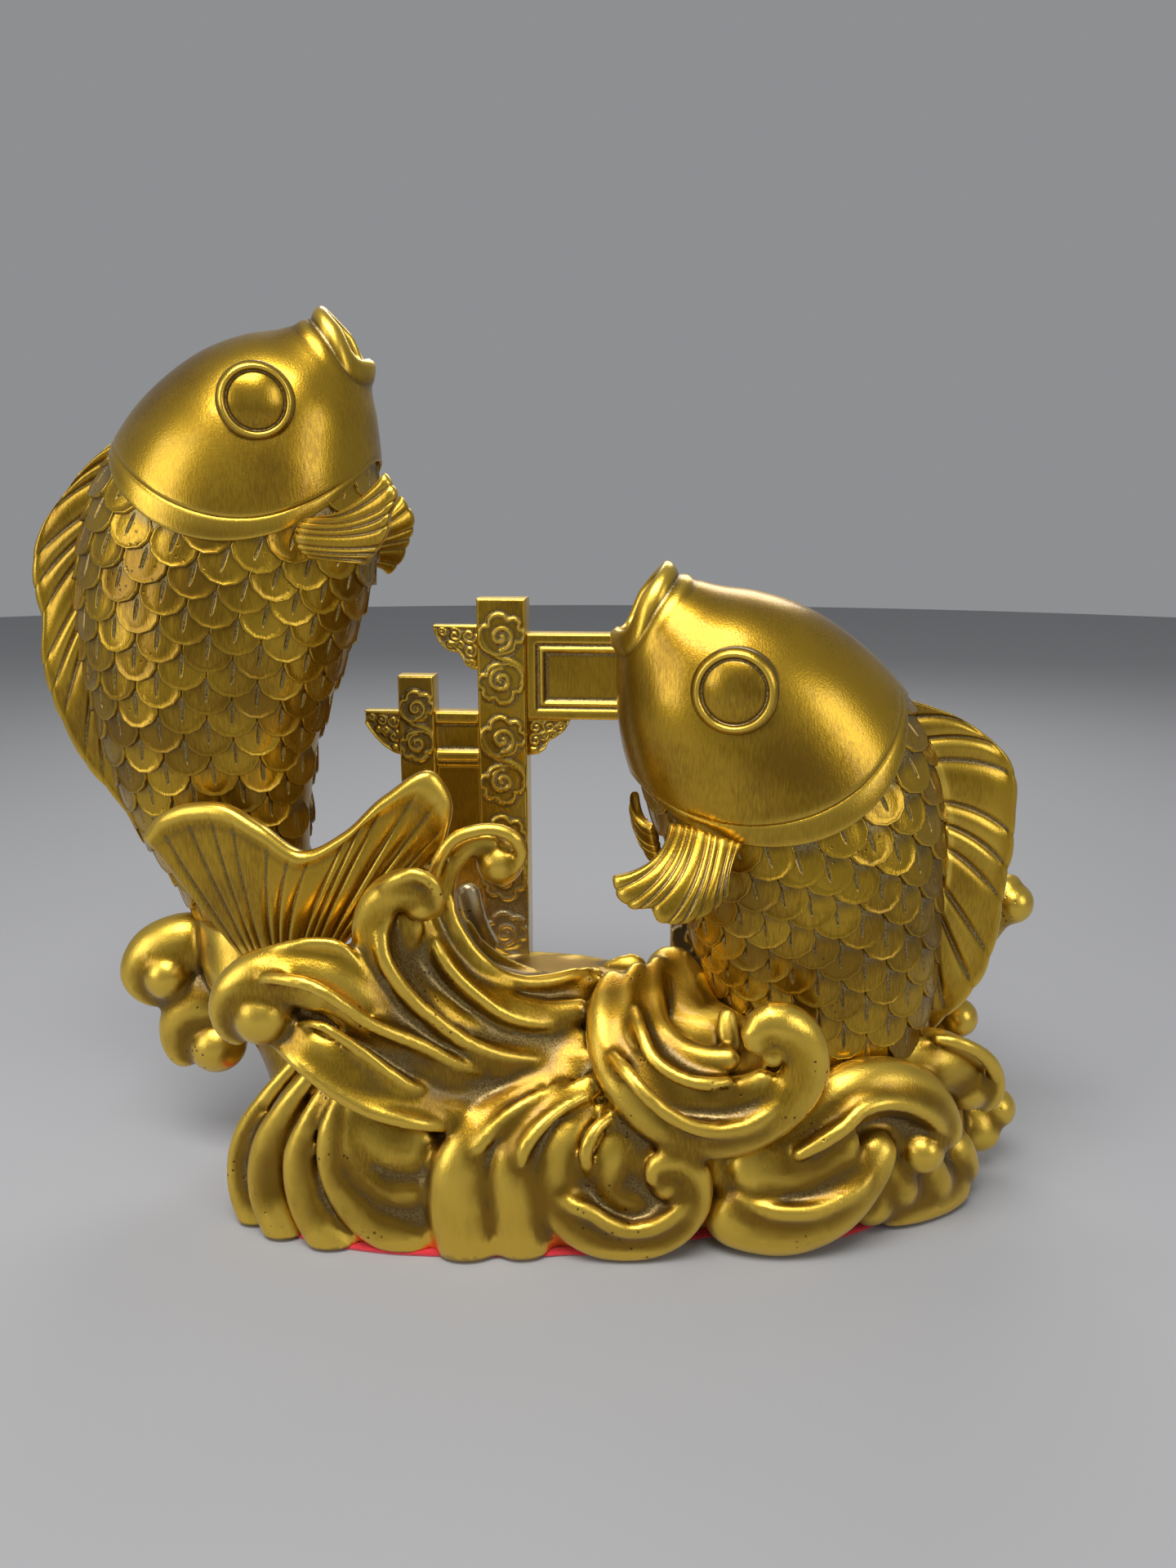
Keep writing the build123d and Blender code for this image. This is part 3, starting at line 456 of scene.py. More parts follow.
def ribbon(places, widths, inward, height_share=1.0):
    """A closed ribbon of water with rounded ends, along places and as wide as it is told."""
    along = unit(np.gradient(places, axis=0))
    across = unit(np.cross(along, inward))
    upward = unit(np.cross(across, along))
    reach = np.concatenate(([0], np.cumsum(np.linalg.norm(np.diff(places, axis=0), axis=1))))
    ends = np.minimum(reach / widths[0], (reach[-1] - reach) / widths[-1]).clip(ribbon_tip_share, 1)
    size = widths * np.sqrt(1 - (1 - ends) ** 2)
    angles = np.linspace(0, 2 * math.pi, ribbon_sides, endpoint=False)
    wide = across[:, None] * (np.cos(angles)[None, :, None] * size[:, None, None])
    high = upward[:, None] * (np.sin(angles)[None, :, None] * size[:, None, None] * height_share)
    return skin(places[:, None] + wide + high)


def ball(centre, radius):
    """A round bead, as points and faces."""
    shape = bmesh.new()
    bmesh.ops.create_icosphere(shape, subdivisions=3, radius=radius, matrix=Matrix.Translation(centre))
    points = np.array([v.co for v in shape.verts])
    faces = [[v.index for v in f.verts] for f in shape.faces]
    shape.free()
    return points, faces


def gather(solids):
    """Several solids as one list of points and faces."""
    points = []
    faces = []
    count = 0
    for some, sides in solids:
        points.append(some)
        faces.extend([[index + count for index in side] for side in sides])
        count += len(some)
    return np.concatenate(points), faces


def pixel_size(place):
    """Millimetres that one pixel of the photograph covers at a place."""
    away = place - camera_place
    return (away[1] * math.cos(camera_dip) - away[2] * math.sin(camera_dip)) / focal_pixels


def drawn_ribbon(rows, height_share=ribbon_height_share, swell=1.0, sink=0.0):
    """A ribbon drawn on the photograph, with its front at the depths given and its ends sunk."""
    places = []
    for across, down, depth, half in rows:
        front = seen(across, down, depth)
        radius = half * swell * pixel_size(front)
        places.append((*(front + ribbon_inward * radius * height_share), radius))
    line = smooth(places, ribbon_steps)
    share = np.abs(np.linspace(-1, 1, ribbon_steps)).clip(sink_start_share, 1)
    ends = share / (1 - sink_start_share) - sink_start_share / (1 - sink_start_share)
    line[:, :3] += ribbon_inward * (sink * ends ** 2)[:, None]
    return ribbon(line[:, :3], line[:, 3], ribbon_inward, height_share)


def read(mesh, what, field, width):
    """A field of every vertex or edge of a mesh, as rows."""
    rows = getattr(mesh, what)
    values = np.zeros(len(rows) * width, np.int32 if field == "vertices" else np.float32)
    rows.foreach_get(field, values)
    return values.reshape(-1, width) if width > 1 else values


def neighbours(mesh):
    """Asks for the mean of the places beside each vertex of a mesh."""
    ends = read(mesh, "edges", "vertices", 2)
    count = len(mesh.vertices)
    share = np.bincount(ends.ravel(), minlength=count).clip(1)

    def mean_beside(places):
        """The mean place of the vertices that share an edge with each one."""
        total = np.zeros_like(places)
        for axis in range(3):
            total[:, axis] = np.bincount(ends[:, 0], places[ends[:, 1], axis], count)
            total[:, axis] += np.bincount(ends[:, 1], places[ends[:, 0], axis], count)
        return total / share[:, None]

    return mean_beside


def fill_creases(mesh, rounds):
    """Fills the creases of a skin with soft fillets, and leaves its ridges crisp."""
    places = read(mesh, "vertices", "co", 3).astype(float)
    normals = read(mesh, "vertices", "normal", 3)
    mean_beside = neighbours(mesh)
    for turn in range(rounds):
        pull = mean_beside(places) - places
        places += pull * fillet_share * ((pull * normals).sum(axis=1) > 0)[:, None]
    mesh.vertices.foreach_set("co", places.astype(np.float32).ravel())
    mesh.update()


def cast(name, solids, voxel, triangles, floor_level):
    """Solids melted into one skin, its creases eased, its foot cut flat and its faces thinned."""
    thing = bpy.data.objects.new(name, mesh_of(name, *gather(solids)))
    bpy.context.scene.collection.objects.link(thing)
    melt = thing.modifiers.new("melt", "REMESH")
    melt.mode = "VOXEL"
    melt.voxel_size = voxel * mm
    ease = thing.modifiers.new("ease", "SMOOTH")
    ease.factor = ease_share
    ease.iterations = ease_rounds
    mesh = bpy.data.meshes.new_from_object(thing.evaluated_get(bpy.context.evaluated_depsgraph_get()))
    fill_creases(mesh, fillet_rounds)
    shape = bmesh.new()
    shape.from_mesh(mesh)
    geometry = shape.verts[:] + shape.edges[:] + shape.faces[:]
    cut = bmesh.ops.bisect_plane(shape, geom=geometry, plane_co=(0, 0, floor_level * mm),
                                 plane_no=(0, 0, -1), clear_outer=True)
    rim = [part for part in cut["geom_cut"] if isinstance(part, bmesh.types.BMEdge)]
    bmesh.ops.contextual_create(shape, geom=rim)
    bmesh.ops.triangulate(shape, faces=shape.faces)
    shape.to_mesh(mesh)
    shape.free()
    thing.modifiers.clear()
    thing.data = mesh
    thin = thing.modifiers.new("thin", "DECIMATE")
    mesh.calc_loop_triangles()
    thin.ratio = min(1, triangles / len(mesh.loop_triangles))
    mesh = bpy.data.meshes.new_from_object(thing.evaluated_get(bpy.context.evaluated_depsgraph_get()))
    bpy.data.objects.remove(thing)
    mesh.name = name
    mesh.shade_smooth()
    return mesh


def write(mesh, name, values):
    """A number kept at each vertex, for the paint to read."""
    attribute = mesh.attributes.new(name, "FLOAT", "POINT")
    attribute.data.foreach_set("value", np.asarray(values, np.float32))


def mark_hollows(mesh, rounds, depth):
    """Keeps how hollow the skin is, from 1 deep in a crease to -1 on top of a ridge."""
    places = read(mesh, "vertices", "co", 3).astype(float) / mm
    mean_beside = neighbours(mesh)
    eased = places.copy()
    for turn in range(rounds):
        eased = (eased + mean_beside(eased)) / 2
    lift = ((eased - places) * read(mesh, "vertices", "normal", 3)).sum(axis=1)
    # The paint reads this for painted shade in the creases and painted highlights on the ridges, and for wax
    # in the creases.
    write(mesh, "hollow", (lift / depth).clip(-1, 1))


# Paint colours: the darkest is painted shade for the creases and also the dark of the pits, the brightest a
# painted highlight for the ridges.
painted_shade_and_pit_gold = (0.065, 0.031, 0.004, 1)
deep_gold = (0.25, 0.135, 0.007, 1)
clear_gold = (0.50, 0.30, 0.018, 1)
painted_highlight_gold = (0.87, 0.59, 0.078, 1)
pale_wax = (0.40, 0.31, 0.13, 1)
raw_grey = (0.50, 0.46, 0.34, 1)
grain = 0.5
pit_depth = 2.0


def gold_paint(name, brush_turn, brush=0.5, wax=1.0, pits=0.0):
    """Metallic gold, brushed on and lacquered: darker in patches, waxed pale in the hollows, with painted
    shade in the creases and painted highlights on the ridges.
    """
    material, tree, shader = new_material(name)
    place = add(tree, "ShaderNodeTexCoord").outputs["Object"]
    hollow = add(tree, "ShaderNodeAttribute", attribute_name="hollow").outputs["Fac"]
    tone = add(tree, "ShaderNodeAttribute", attribute_name="tone").outputs["Fac"]
    raw = add(tree, "ShaderNodeAttribute", attribute_name="raw").outputs["Fac"]
    turned = add(tree, "ShaderNodeMapping", {"Rotation": brush_turn, "Scale": (1.0, 1.0, 0.16)},
                 {"Vector": place}).outputs["Vector"]

    def noise(scale, detail, vector):
        """A soft pattern of light and dark spots."""
        values = {"Scale": scale, "Detail": detail}
        return add(tree, "ShaderNodeTexNoise", values, {"Vector": vector}).outputs["Fac"]

    patches = noise(26.0, 3.0, place)
    strokes = noise(1900.0, 3.0, turned)
    grains = noise(1700.0, 3.0, place)

    def between(value, low, high, low_to=0.0, high_to=1.0):
        """A value stretched from one range to another, and held inside it."""
        values = {"From Min": low, "From Max": high, "To Min": low_to, "To Max": high_to}
        node = add(tree, "ShaderNodeMapRange", values, {"Value": value}, interpolation_type="SMOOTHSTEP")
        return node.outputs["Result"]

    def mix(share, first, second):
        """One colour laid over another."""
        node = add(tree, "ShaderNodeMix", data_type="RGBA")
        tree.links.new(share, node.inputs[0])
        for socket, colour in ((node.inputs[6], first), (node.inputs[7], second)):
            if isinstance(colour, tuple):
                socket.default_value = colour
            else:
                tree.links.new(colour, socket)
        return node.outputs[2]

    def work(kind, first, second):
        """Two numbers added, taken away or multiplied."""
        node = add(tree, "ShaderNodeMath", operation=kind)
        for socket, value in zip(node.inputs, (first, second)):
            if isinstance(value, (int, float)):
                socket.default_value = value
            else:
                tree.links.new(value, socket)
        return node.outputs["Value"]

    wear_and_shade = work("ADD", work("MULTIPLY", strokes, 0.3), work("MULTIPLY", patches, 0.7))
    # Random tone of the scales, and painted shade low on the water, shift the gold darker or lighter.
    wear_and_shade = work("ADD", wear_and_shade, work("MULTIPLY", tone, 0.14))
    colour = mix(between(wear_and_shade, 0.36, 0.60), deep_gold, clear_gold)
    # Painted highlight on the ridges and painted shade in the creases, from how hollow the skin is.
    colour = mix(between(hollow, -0.05, -0.75, 0.0, 0.8), colour, painted_highlight_gold)
    colour = mix(between(hollow, 0.02, 0.45, 0.0, 0.8), colour, painted_shade_and_pit_gold)
    waxed = work("MULTIPLY", between(hollow, 0.12, 0.60), between(grains, 0.38, 0.62, 0.25, 1.0))
    waxed = work("MULTIPLY", work("ADD", waxed, between(tone, 0.55, 1.0, 0.0, 0.12)), wax)
    colour = mix(waxed, colour, pale_wax)
    colour = mix(raw, colour, raw_grey)
    rough = work("ADD", between(wear_and_shade, 0.3, 0.7, 0.35, 0.25), work("MULTIPLY", waxed, 0.16))
    height = work("ADD", work("MULTIPLY", strokes, brush), work("MULTIPLY", grains, grain))
    if pits:
        cells = add(tree, "ShaderNodeTexVoronoi", {"Scale": 420.0}, {"Vector": place}).outputs["Distance"]
        spots = noise(45.0, 1.0, place)
        pitted = work("MULTIPLY", between(cells, 0.24, 0.14), between(spots, 0.60, 0.66, 0.0, pits))
        colour = mix(pitted, colour, painted_shade_and_pit_gold)
        height = work("SUBTRACT", height, work("MULTIPLY", pitted, pit_depth))
    bump = add(tree, "ShaderNodeBump", {"Strength": 0.35, "Distance": 0.00025}, {"Height": height})
    tree.links.new(colour, shader.inputs["Base Color"])
    tree.links.new(rough, shader.inputs["Roughness"])
    tree.links.new(bump.outputs["Normal"], shader.inputs["Normal"])
    shader.inputs["Metallic"].default_value = 0.94
    shader.inputs["Coat Weight"].default_value = 0.25
    shader.inputs["Coat Roughness"].default_value = 0.14
    return material


water_solids = []
for rows in front_ribbons:
    water_solids.append(drawn_ribbon(rows, swell=ribbon_swell))
for rows in front_rolls:
    water_solids.append(drawn_ribbon(rows, roll_height_share, roll_swell, roll_sink))
for rows in sheets_behind:
    water_solids.append(drawn_ribbon(rows, sheet_height_share))
for across, down, depth, radius in curl_balls:
    front = seen(across, down, depth)
    radius = radius * pixel_size(front)
    water_solids.append(ball(front + ribbon_inward * radius, radius))
water_solids.append(drawn_ribbon(raw_fillers))
line = smooth(back_crest, ribbon_steps)
water_solids.append(ribbon(line[:, :3], line[:, 3], np.array((0, 1, 0))))
water_solids.append(ball(back_crest_ball[:3], back_crest_ball[3]))
for index in range(back_rib_count):
    share = index / (back_rib_count - 1)
    x = back_rib_span[0] + share * (back_rib_span[1] - back_rib_span[0])
    lean = back_rib_lean * math.sin(index * back_rib_lean_step)
    bend = back_rib_end_bend * (2 * share - 1) ** 4
    rib = [(x * spread_share + lean * (1 - level / back_rib_lean_level), y - bend, level, radius)
           for spread_share, y, level, radius in back_rib_rows]
    line = smooth(rib, ribbon_steps)
    water_solids.append(ribbon(line[:, :3], line[:, 3], np.array((0, -1, 0))))
centre, turns, spread = outline_of("felt_pad", felt_high.z / mm, rim_columns)
rings = []
for level, share in mound_levels:
    flat = centre + np.stack((np.cos(turns), np.sin(turns)), axis=1) * spread[:, None] * share
    rings.append(np.column_stack((flat, np.full(rim_columns, level))))
water_solids.append(skin(rings))
angles = np.linspace(0, 2 * math.pi, rim_columns, endpoint=False)
for rows in mound_swells:
    rings = []
    for level, x, y, long_half, deep_half in smooth(rows, swell_rows, 1):
        flat = (x + long_half * np.cos(angles), y + deep_half * np.sin(angles))
        rings.append(np.column_stack((*flat, np.full(rim_columns, level))))
    water_solids.append(skin(rings))
water_mesh = cast("wave_casting", water_solids, wave_voxel, wave_triangles, felt_thickness)
mark_hollows(water_mesh, hollow_rounds, hollow_depth)
filler_line = smooth([seen(*row[:3]) for row in raw_fillers], ribbon_steps)
water_places = read(water_mesh, "vertices", "co", 3) / mm
gap = np.min(np.linalg.norm(water_places[:, None, ::2] - filler_line[None, :, ::2], axis=2), axis=1)
behind = (water_places[:, 1] > raw_depths[0]) & (water_places[:, 1] < raw_depths[1])
write(water_mesh, "raw", ((raw_reach - gap) / raw_soft).clip(0, 1) * behind * raw_share)
# Painted shade: the water's paint is darker towards its foot.
write(water_mesh, "tone", np.interp(water_places[:, 2], water_shade_heights, water_shade_tones))
wave_gold = gold_paint("wave_gold", brush_turn=(0.2, 0.9, 0.1), wax=0.5, pits=0.8)
water_nodes = [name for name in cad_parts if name.startswith("wave_")]
finish("wave_casting", water_mesh, wave_gold, water_nodes)

# Trunks of the carps: each a resin casting that stands in the water on two steel pins.
# The skin is smooth along the back and the belly, and painted dark in the seams between its scales as painted
# shade.
carp_length = 180.0
trunk_steps = 90
trunk_columns = 120
trunk_start_share = 0.13
trunk_sink = 0.5
spine_steps = 400
seam_shade = 0.7
belly_band = 0.26
back_band = 0.14
# Rings of a carp from lip to foot, as shares of its length: x and z from the gill centre, half
# depth, half thickness, and the direction of its back in degrees
left_rings = (
    (0.178, 0.098, 0.047, 0.041, 132), (0.168, 0.082, 0.055, 0.052, 132),
    (0.157, 0.062, 0.069, 0.066, 134), (0.142, 0.036, 0.094, 0.088, 137),
    (0.115, 0.008, 0.130, 0.117, 140), (0.080, -0.028, 0.167, 0.142, 145),
    (0.048, -0.071, 0.195, 0.162, 149), (0.018, -0.123, 0.220, 0.175, 152),
    (-0.011, -0.187, 0.240, 0.185, 155), (-0.045, -0.257, 0.251, 0.189, 159),
    (-0.068, -0.324, 0.251, 0.188, 164), (-0.098, -0.471, 0.228, 0.172, 171),
    (-0.107, -0.613, 0.194, 0.150, 178), (-0.094, -0.746, 0.163, 0.128, 185),
    (-0.059, -0.888, 0.120, 0.104, 188), (-0.040, -0.980, 0.100, 0.092, 190),
)
right_rings = (
    (-0.217, 0.163, 0.060, 0.048, 53), (-0.206, 0.148, 0.066, 0.058, 52),
    (-0.193, 0.126, 0.082, 0.076, 50), (-0.171, 0.094, 0.111, 0.100, 48),
    (-0.131, 0.051, 0.157, 0.133, 47), (-0.084, 0.003, 0.194, 0.156, 46),
    (-0.032, -0.055, 0.220, 0.172, 44), (0.020, -0.124, 0.240, 0.181, 41),
    (0.059, -0.195, 0.253, 0.188, 38), (0.088, -0.277, 0.250, 0.188, 33),
    (0.116, -0.447, 0.214, 0.168, 20), (0.131, -0.585, 0.185, 0.148, 11),
    (0.143, -0.694, 0.150, 0.125, 7),
)
# Each carp: its name, its gill centre, its rings, and the half length, half height and middle
# of the oval edge of its gill cover
left_carp = ("left_carp", np.array((-98.0, 15.0, 255.0)), left_rings, 45.5, 44.5, 0.0)
right_carp = ("right_carp", np.array((62.0, -15.0, 165.0)), right_rings, 45.8, 39.8, -5.0)


def spine_of(carp):
    """The rings of a carp closely spaced in millimetres, and their ways along its spine."""
    rows = smooth(carp[2], spine_steps, 2) * (carp_length, carp_length, carp_length, carp_length, 1)
    steps = np.linalg.norm(np.diff(rows[:, :2], axis=0), axis=1)
    return rows, np.concatenate(([0], np.cumsum(steps)))


def on_skin(carp, along, around, out=0.0, squeeze=0.0):
    """The place on a carp at a way along and an angle round from its back, let out or in."""
    rows, reach = spines[carp[0]]
    x, z, deep, thick, back = (np.interp(along, reach, rows[:, k]) for k in range(5))
    turn = np.radians(back)
    up = (deep * (1 - squeeze) + out) * np.cos(around)
    side = -(thick * (1 - squeeze) + out) * np.sin(around)
    return np.stack((x + up * np.cos(turn), side, z + up * np.sin(turn)), axis=-1) + carp[1]


def inside_gill(carp, places):
    """How far places lie on the lip's side of the oval edge of the gill cover."""
    half_length, half_height, middle = carp[3:]
    x = places[..., 0] - carp[1][0] - middle
    z = places[..., 2] - carp[1][2]
    return np.maximum(half_height * (1 - np.hypot(x / half_length, z / half_height)), z)


def round_grid(columns):
    """Evenly spaced angles round a carp."""
    return np.linspace(0, 2 * math.pi, columns, endpoint=False)


spines = {carp[0]: spine_of(carp) for carp in (left_carp, right_carp)}
skin_gold = gold_paint("skin_gold", brush_turn=(1.3, 0.3, 0.2), brush=0.3)
for carp in (left_carp, right_carp):
    reach = spines[carp[0]][1][-1]
    along = np.linspace(reach * trunk_start_share, reach, trunk_steps)[:, None]
    around = round_grid(trunk_columns)[None]
    trunk = mesh_of(carp[0] + "_trunk", *skin(on_skin(carp, along, around, -trunk_sink)))
    spread_around = np.broadcast_to(around, (trunk_steps, trunk_columns))
    band = np.where(np.cos(spread_around) < 0, belly_band, back_band)
    smooth_band = np.abs(np.sin(spread_around)) < band
    # Painted shade in the seams between the scales, none on the smooth back and belly.
    shades = np.where(smooth_band, 0.0, seam_shade).ravel()
    write(trunk, "hollow", np.concatenate((shades, (0, 0))))
    finish(carp[0] + "_trunk", trunk, skin_gold, [carp[0] + "_body"])

# Scales: pressed into the clay as overlapping tiles, each with a slit and a fine raised rim.
# They run in offset rows from the gill cover to the foot, and shrink a little on the way.
scale_width = 16.0
scale_foot_share = 0.90
scale_pitch_share = 0.465
scale_clear = 3.0
belly_clear = 6.0
scale_lift = 1.4
scale_sink = 0.6
scale_arc = (-78, -48, -16, 16, 48, 78, 104, 142, 180, 218, 256)
scale_tail_share = 0.43
scale_root_share = 0.56
# Bands of a scale from the slit to its edge: share of the way, height, and how hollow it counts, which gives
# painted shade and wax in the slit and a painted highlight on the rim
scale_bands = (
    (0.0, 0.0, 0.2), (0.07, 0.0, -0.05), (0.5, 0.002, -0.05), (0.87, -0.006, 0.05), (0.94, 0.010, -0.6),
    (1.0, 0.0, -0.2),
)
scale_wall_share = 0.13
scale_wall_flare = 1.01
scale_dome_share = 0.22
slit_places = (-0.06, 0.25, 0.034)
slit_floor_shares = (0.25, 0.85)
slit_depth_share = 0.05
# Painted shade and wax in the slits and in the seams under the scale edges
seam_shade_and_wax_mark = 0.95
# How hollow a scale counts, from its tucked root to its tail: painted shade at the root under the scale
# above, fading to a painted highlight at the tail
tuck_places = (-0.42, 0.30)
tuck_shade_marks = (0.55, -0.35)
scale_jitter = 0.02
scale_tones = (-0.5, 0.65)
half_turn_steps = 180
feel_way = 1
feel_turn = 0.02


def scale_template():
    """One scale, one metre wide, its tail edge towards Y and its face towards Z."""
    turns = np.radians(scale_arc)
    reach = np.where(np.cos(turns) > 0, scale_tail_share, scale_root_share)
    edge = np.column_stack((np.sin(turns) / 2, np.cos(turns) * reach))
    middle, half, width = slit_places
    slit = np.column_stack((np.sin(turns) * width, middle + np.cos(turns) * half))
    levels = [(slit * slit_floor_shares, -slit_depth_share, seam_shade_and_wax_mark)]
    for share, height, mark in scale_bands:
        levels.append((slit + (edge - slit) * share, height, mark))
    levels.append((edge * scale_wall_flare, -scale_wall_share, seam_shade_and_wax_mark))
    points = []
    marks = []
    for flat, height, mark in levels:
        points.extend(np.column_stack((flat, height - scale_dome_share * flat[:, 0] ** 2)))
        tuck_shade = np.interp(flat[:, 1], tuck_places, tuck_shade_marks)
        marks.extend(np.maximum(mark, tuck_shade))
    around = len(turns)
    faces = [list(range(around)), list(range(len(points) - around, len(points)))]
    for level in range(len(levels) - 1):
        for column in range(around):
            beside = (column + 1) % around
            low, high = level * around, (level + 1) * around
            faces.append([low + column, low + beside, high + beside, high + column])
    mesh = mesh_of("scale", np.array(points) / mm, faces)
    write(mesh, "hollow", marks)
    return mesh


def scale_places(carp):
    """Points, turns and sizes of a carp's scales, in rows from the gill cover to the foot."""
    reach = spines[carp[0]][1][-1]
    places, turns, sizes = [], [], []
    along = reach * trunk_start_share
    row = 0
    fine = np.linspace(0, math.pi, half_turn_steps + 1)
    while along < reach:
        share = along / reach
        width = scale_width * (1 + (scale_foot_share - 1) * share)
        for side in (1, -1):
            line = on_skin(carp, along, side * fine)
            arc = np.concatenate(([0], np.cumsum(np.linalg.norm(np.diff(line, axis=0), axis=1))))
            first = arc[half_turn_steps // 2] % width + (row % 2) * width / 2
            for at in np.arange(first - width, arc[-1], width):
                if at < scale_clear or at > arc[-1] - belly_clear:
                    continue
                around = side * np.interp(at, arc, fine)
                here = on_skin(carp, along, around)
                if inside_gill(carp, here) > scale_clear:
                    continue
                ahead = on_skin(carp, along + feel_way, around) - on_skin(carp, along - feel_way, around)
                across = on_skin(carp, along, around - feel_turn) - on_skin(carp, along, around + feel_turn)
                ahead = unit(ahead)
                outward = unit(np.cross(unit(across), ahead))
                if outward @ (here - on_skin(carp, along, around, squeeze=1.0)) < 0:
                    outward = -outward
                tilt = math.atan2(scale_lift + scale_sink, width)
                ahead = unit(ahead * math.cos(tilt) + outward * math.sin(tilt))
                outward = unit(outward - ahead * (outward @ ahead))
                across = np.cross(ahead, outward)
                frame_turn = Matrix(np.column_stack((across, ahead, outward)).tolist()).to_euler()
                places.append(here + outward * (scale_lift - scale_sink) / 2)
                turns.append(tuple(frame_turn))
                sizes.append((width, width, width))
        along += width * scale_pitch_share
        row += 1
    return np.array(places), np.array(turns), np.array(sizes)


def scale_mail(name, places, turns, sizes, template, material, seed):
    """Scales set on their points by Geometry Nodes, each a little turned and a little lighter or darker at
    random.
    """
    holder_mesh = bpy.data.meshes.new(name)
    holder_mesh.from_pydata((places * mm).tolist(), [], [])
    for key, values in (("turn", turns), ("size", sizes * mm)):
        attribute = holder_mesh.attributes.new(key, "FLOAT_VECTOR", "POINT")
        attribute.data.foreach_set("vector", np.asarray(values, np.float32).ravel())
    holder = bpy.data.objects.new(name, holder_mesh)
    bpy.context.scene.collection.objects.link(holder)
    tree = bpy.data.node_groups.new("scale_mail", "GeometryNodeTree")
    sockets = {}
    for key, kind in (("Places", "Geometry"), ("Scale", "Object"), ("Jitter", "Float"), ("Seed", "Int"),
                      ("Paint", "Material")):
        sockets[key] = tree.interface.new_socket(key, in_out="INPUT", socket_type="NodeSocket" + kind)
    tree.interface.new_socket("Scales", in_out="OUTPUT", socket_type="NodeSocketGeometry")
    given = add(tree, "NodeGroupInput").outputs
    plate = add(tree, "GeometryNodeObjectInfo", links={"Object": given["Scale"]}).outputs["Geometry"]
    kept = [add(tree, "GeometryNodeInputNamedAttribute", {"Name": key}, data_type="FLOAT_VECTOR").outputs[0]
            for key in ("turn", "size")]
    least = add(tree, "ShaderNodeVectorMath", {1: (-1, -1, -1)}, {0: given["Jitter"]}, operation="MULTIPLY")
    wobble = add(tree, "FunctionNodeRandomValue", data_type="FLOAT_VECTOR",
                 links={0: least.outputs[0], 1: given["Jitter"], "Seed": given["Seed"]})
    turned = add(tree, "ShaderNodeVectorMath", links={0: kept[0], 1: wobble.outputs[0]}, operation="ADD")
    laid = add(tree, "GeometryNodeInstanceOnPoints", links={
        "Points": given["Places"], "Instance": plate, "Rotation": turned.outputs[0], "Scale": kept[1]})
    tones = add(tree, "FunctionNodeRandomValue", {2: scale_tones[0], 3: scale_tones[1]},
                {"Seed": given["Seed"]}, data_type="FLOAT")
    toned = add(tree, "GeometryNodeStoreNamedAttribute", {"Name": "tone"}, data_type="FLOAT",
                domain="INSTANCE", links={"Geometry": laid.outputs[0], "Value": tones.outputs[1]})
    real = add(tree, "GeometryNodeRealizeInstances", links={"Geometry": toned.outputs[0]})
    painted = add(tree, "GeometryNodeSetMaterial",
                  links={"Geometry": real.outputs[0], "Material": given["Paint"]})
    add(tree, "NodeGroupOutput", links={"Scales": painted.outputs[0]})
    mail = holder.modifiers.new("scales", "NODES")
    mail.node_group = tree
    for key, value in (("Scale", template), ("Jitter", scale_jitter), ("Seed", seed), ("Paint", material)):
        mail[sockets[key].identifier] = value
    made = bpy.data.meshes.new_from_object(holder.evaluated_get(bpy.context.evaluated_depsgraph_get()))
    holder.modifiers.remove(mail)
    bpy.data.objects.remove(holder)
    made.name = name
    made.shade_smooth()
    return made


scale_gold = gold_paint("scale_gold", brush_turn=(0.3, 0.2, 0.1), brush=0.6, wax=1.2, pits=0.6)
template = bpy.data.objects.new("scale_template", scale_template())
bpy.context.scene.collection.objects.link(template)
for seed, carp in enumerate((left_carp, right_carp)):
    name = carp[0] + "_scales"
    mail_mesh = scale_mail(name, *scale_places(carp), template, scale_gold, seed)
    finish(name, mail_mesh, scale_gold, [carp[0] + "_body"])
bpy.data.objects.remove(template)

# Heads: one smooth casting from the rolled lips to the gill cover, which stands a little
# proud of the scales. A crease inside its edge leaves a narrow band, and the mouth is hollow.
head_columns = 160
head_rows = 56
head_row_gap = 0.8
head_hollow_rounds = 6
head_hollow_depth = 0.45
gill_step = 1.8
gill_reach_share = 0.75
gill_edge_steps = 900
gill_edge_rounds = 3
lip_back = 3.0
lip_corner = math.radians(128)
lip_corner_spread = math.radians(34)
# Inner mouth: way in from the lip, and how far the walls draw together there
mouth_rows = ((19, 0.92), (15, 0.62), (11, 0.46), (7, 0.38), (3.5, 0.33), (1.2, 0.27), (0.1, 0.17))
# Lips: way from the rim, and height of the roll, the groove and the fold behind it
lip_rows = (
    (-0.5, -0.6), (-0.3, 0.3), (0.5, 1.1), (1.7, 1.5), (3.0, 1.3), (4.2, 0.7), (5.0, 0.0), (5.6, -0.35),
)
fold_rows = ((6.4, 0.1), (7.4, 0.45), (8.6, 0.35), (9.6, 0.0), (10.4, -0.15), (11.6, 0.0))
# Least height of the lip roll and what it gains towards the top, as shares
lip_shares = (0.55, 0.45)
lip_power = 0.6
lip_corner_share = 0.8
lower_lip_rise = 1.2
lower_lip_middle = 2
lower_lip_reach = 4
least_way = 0.02
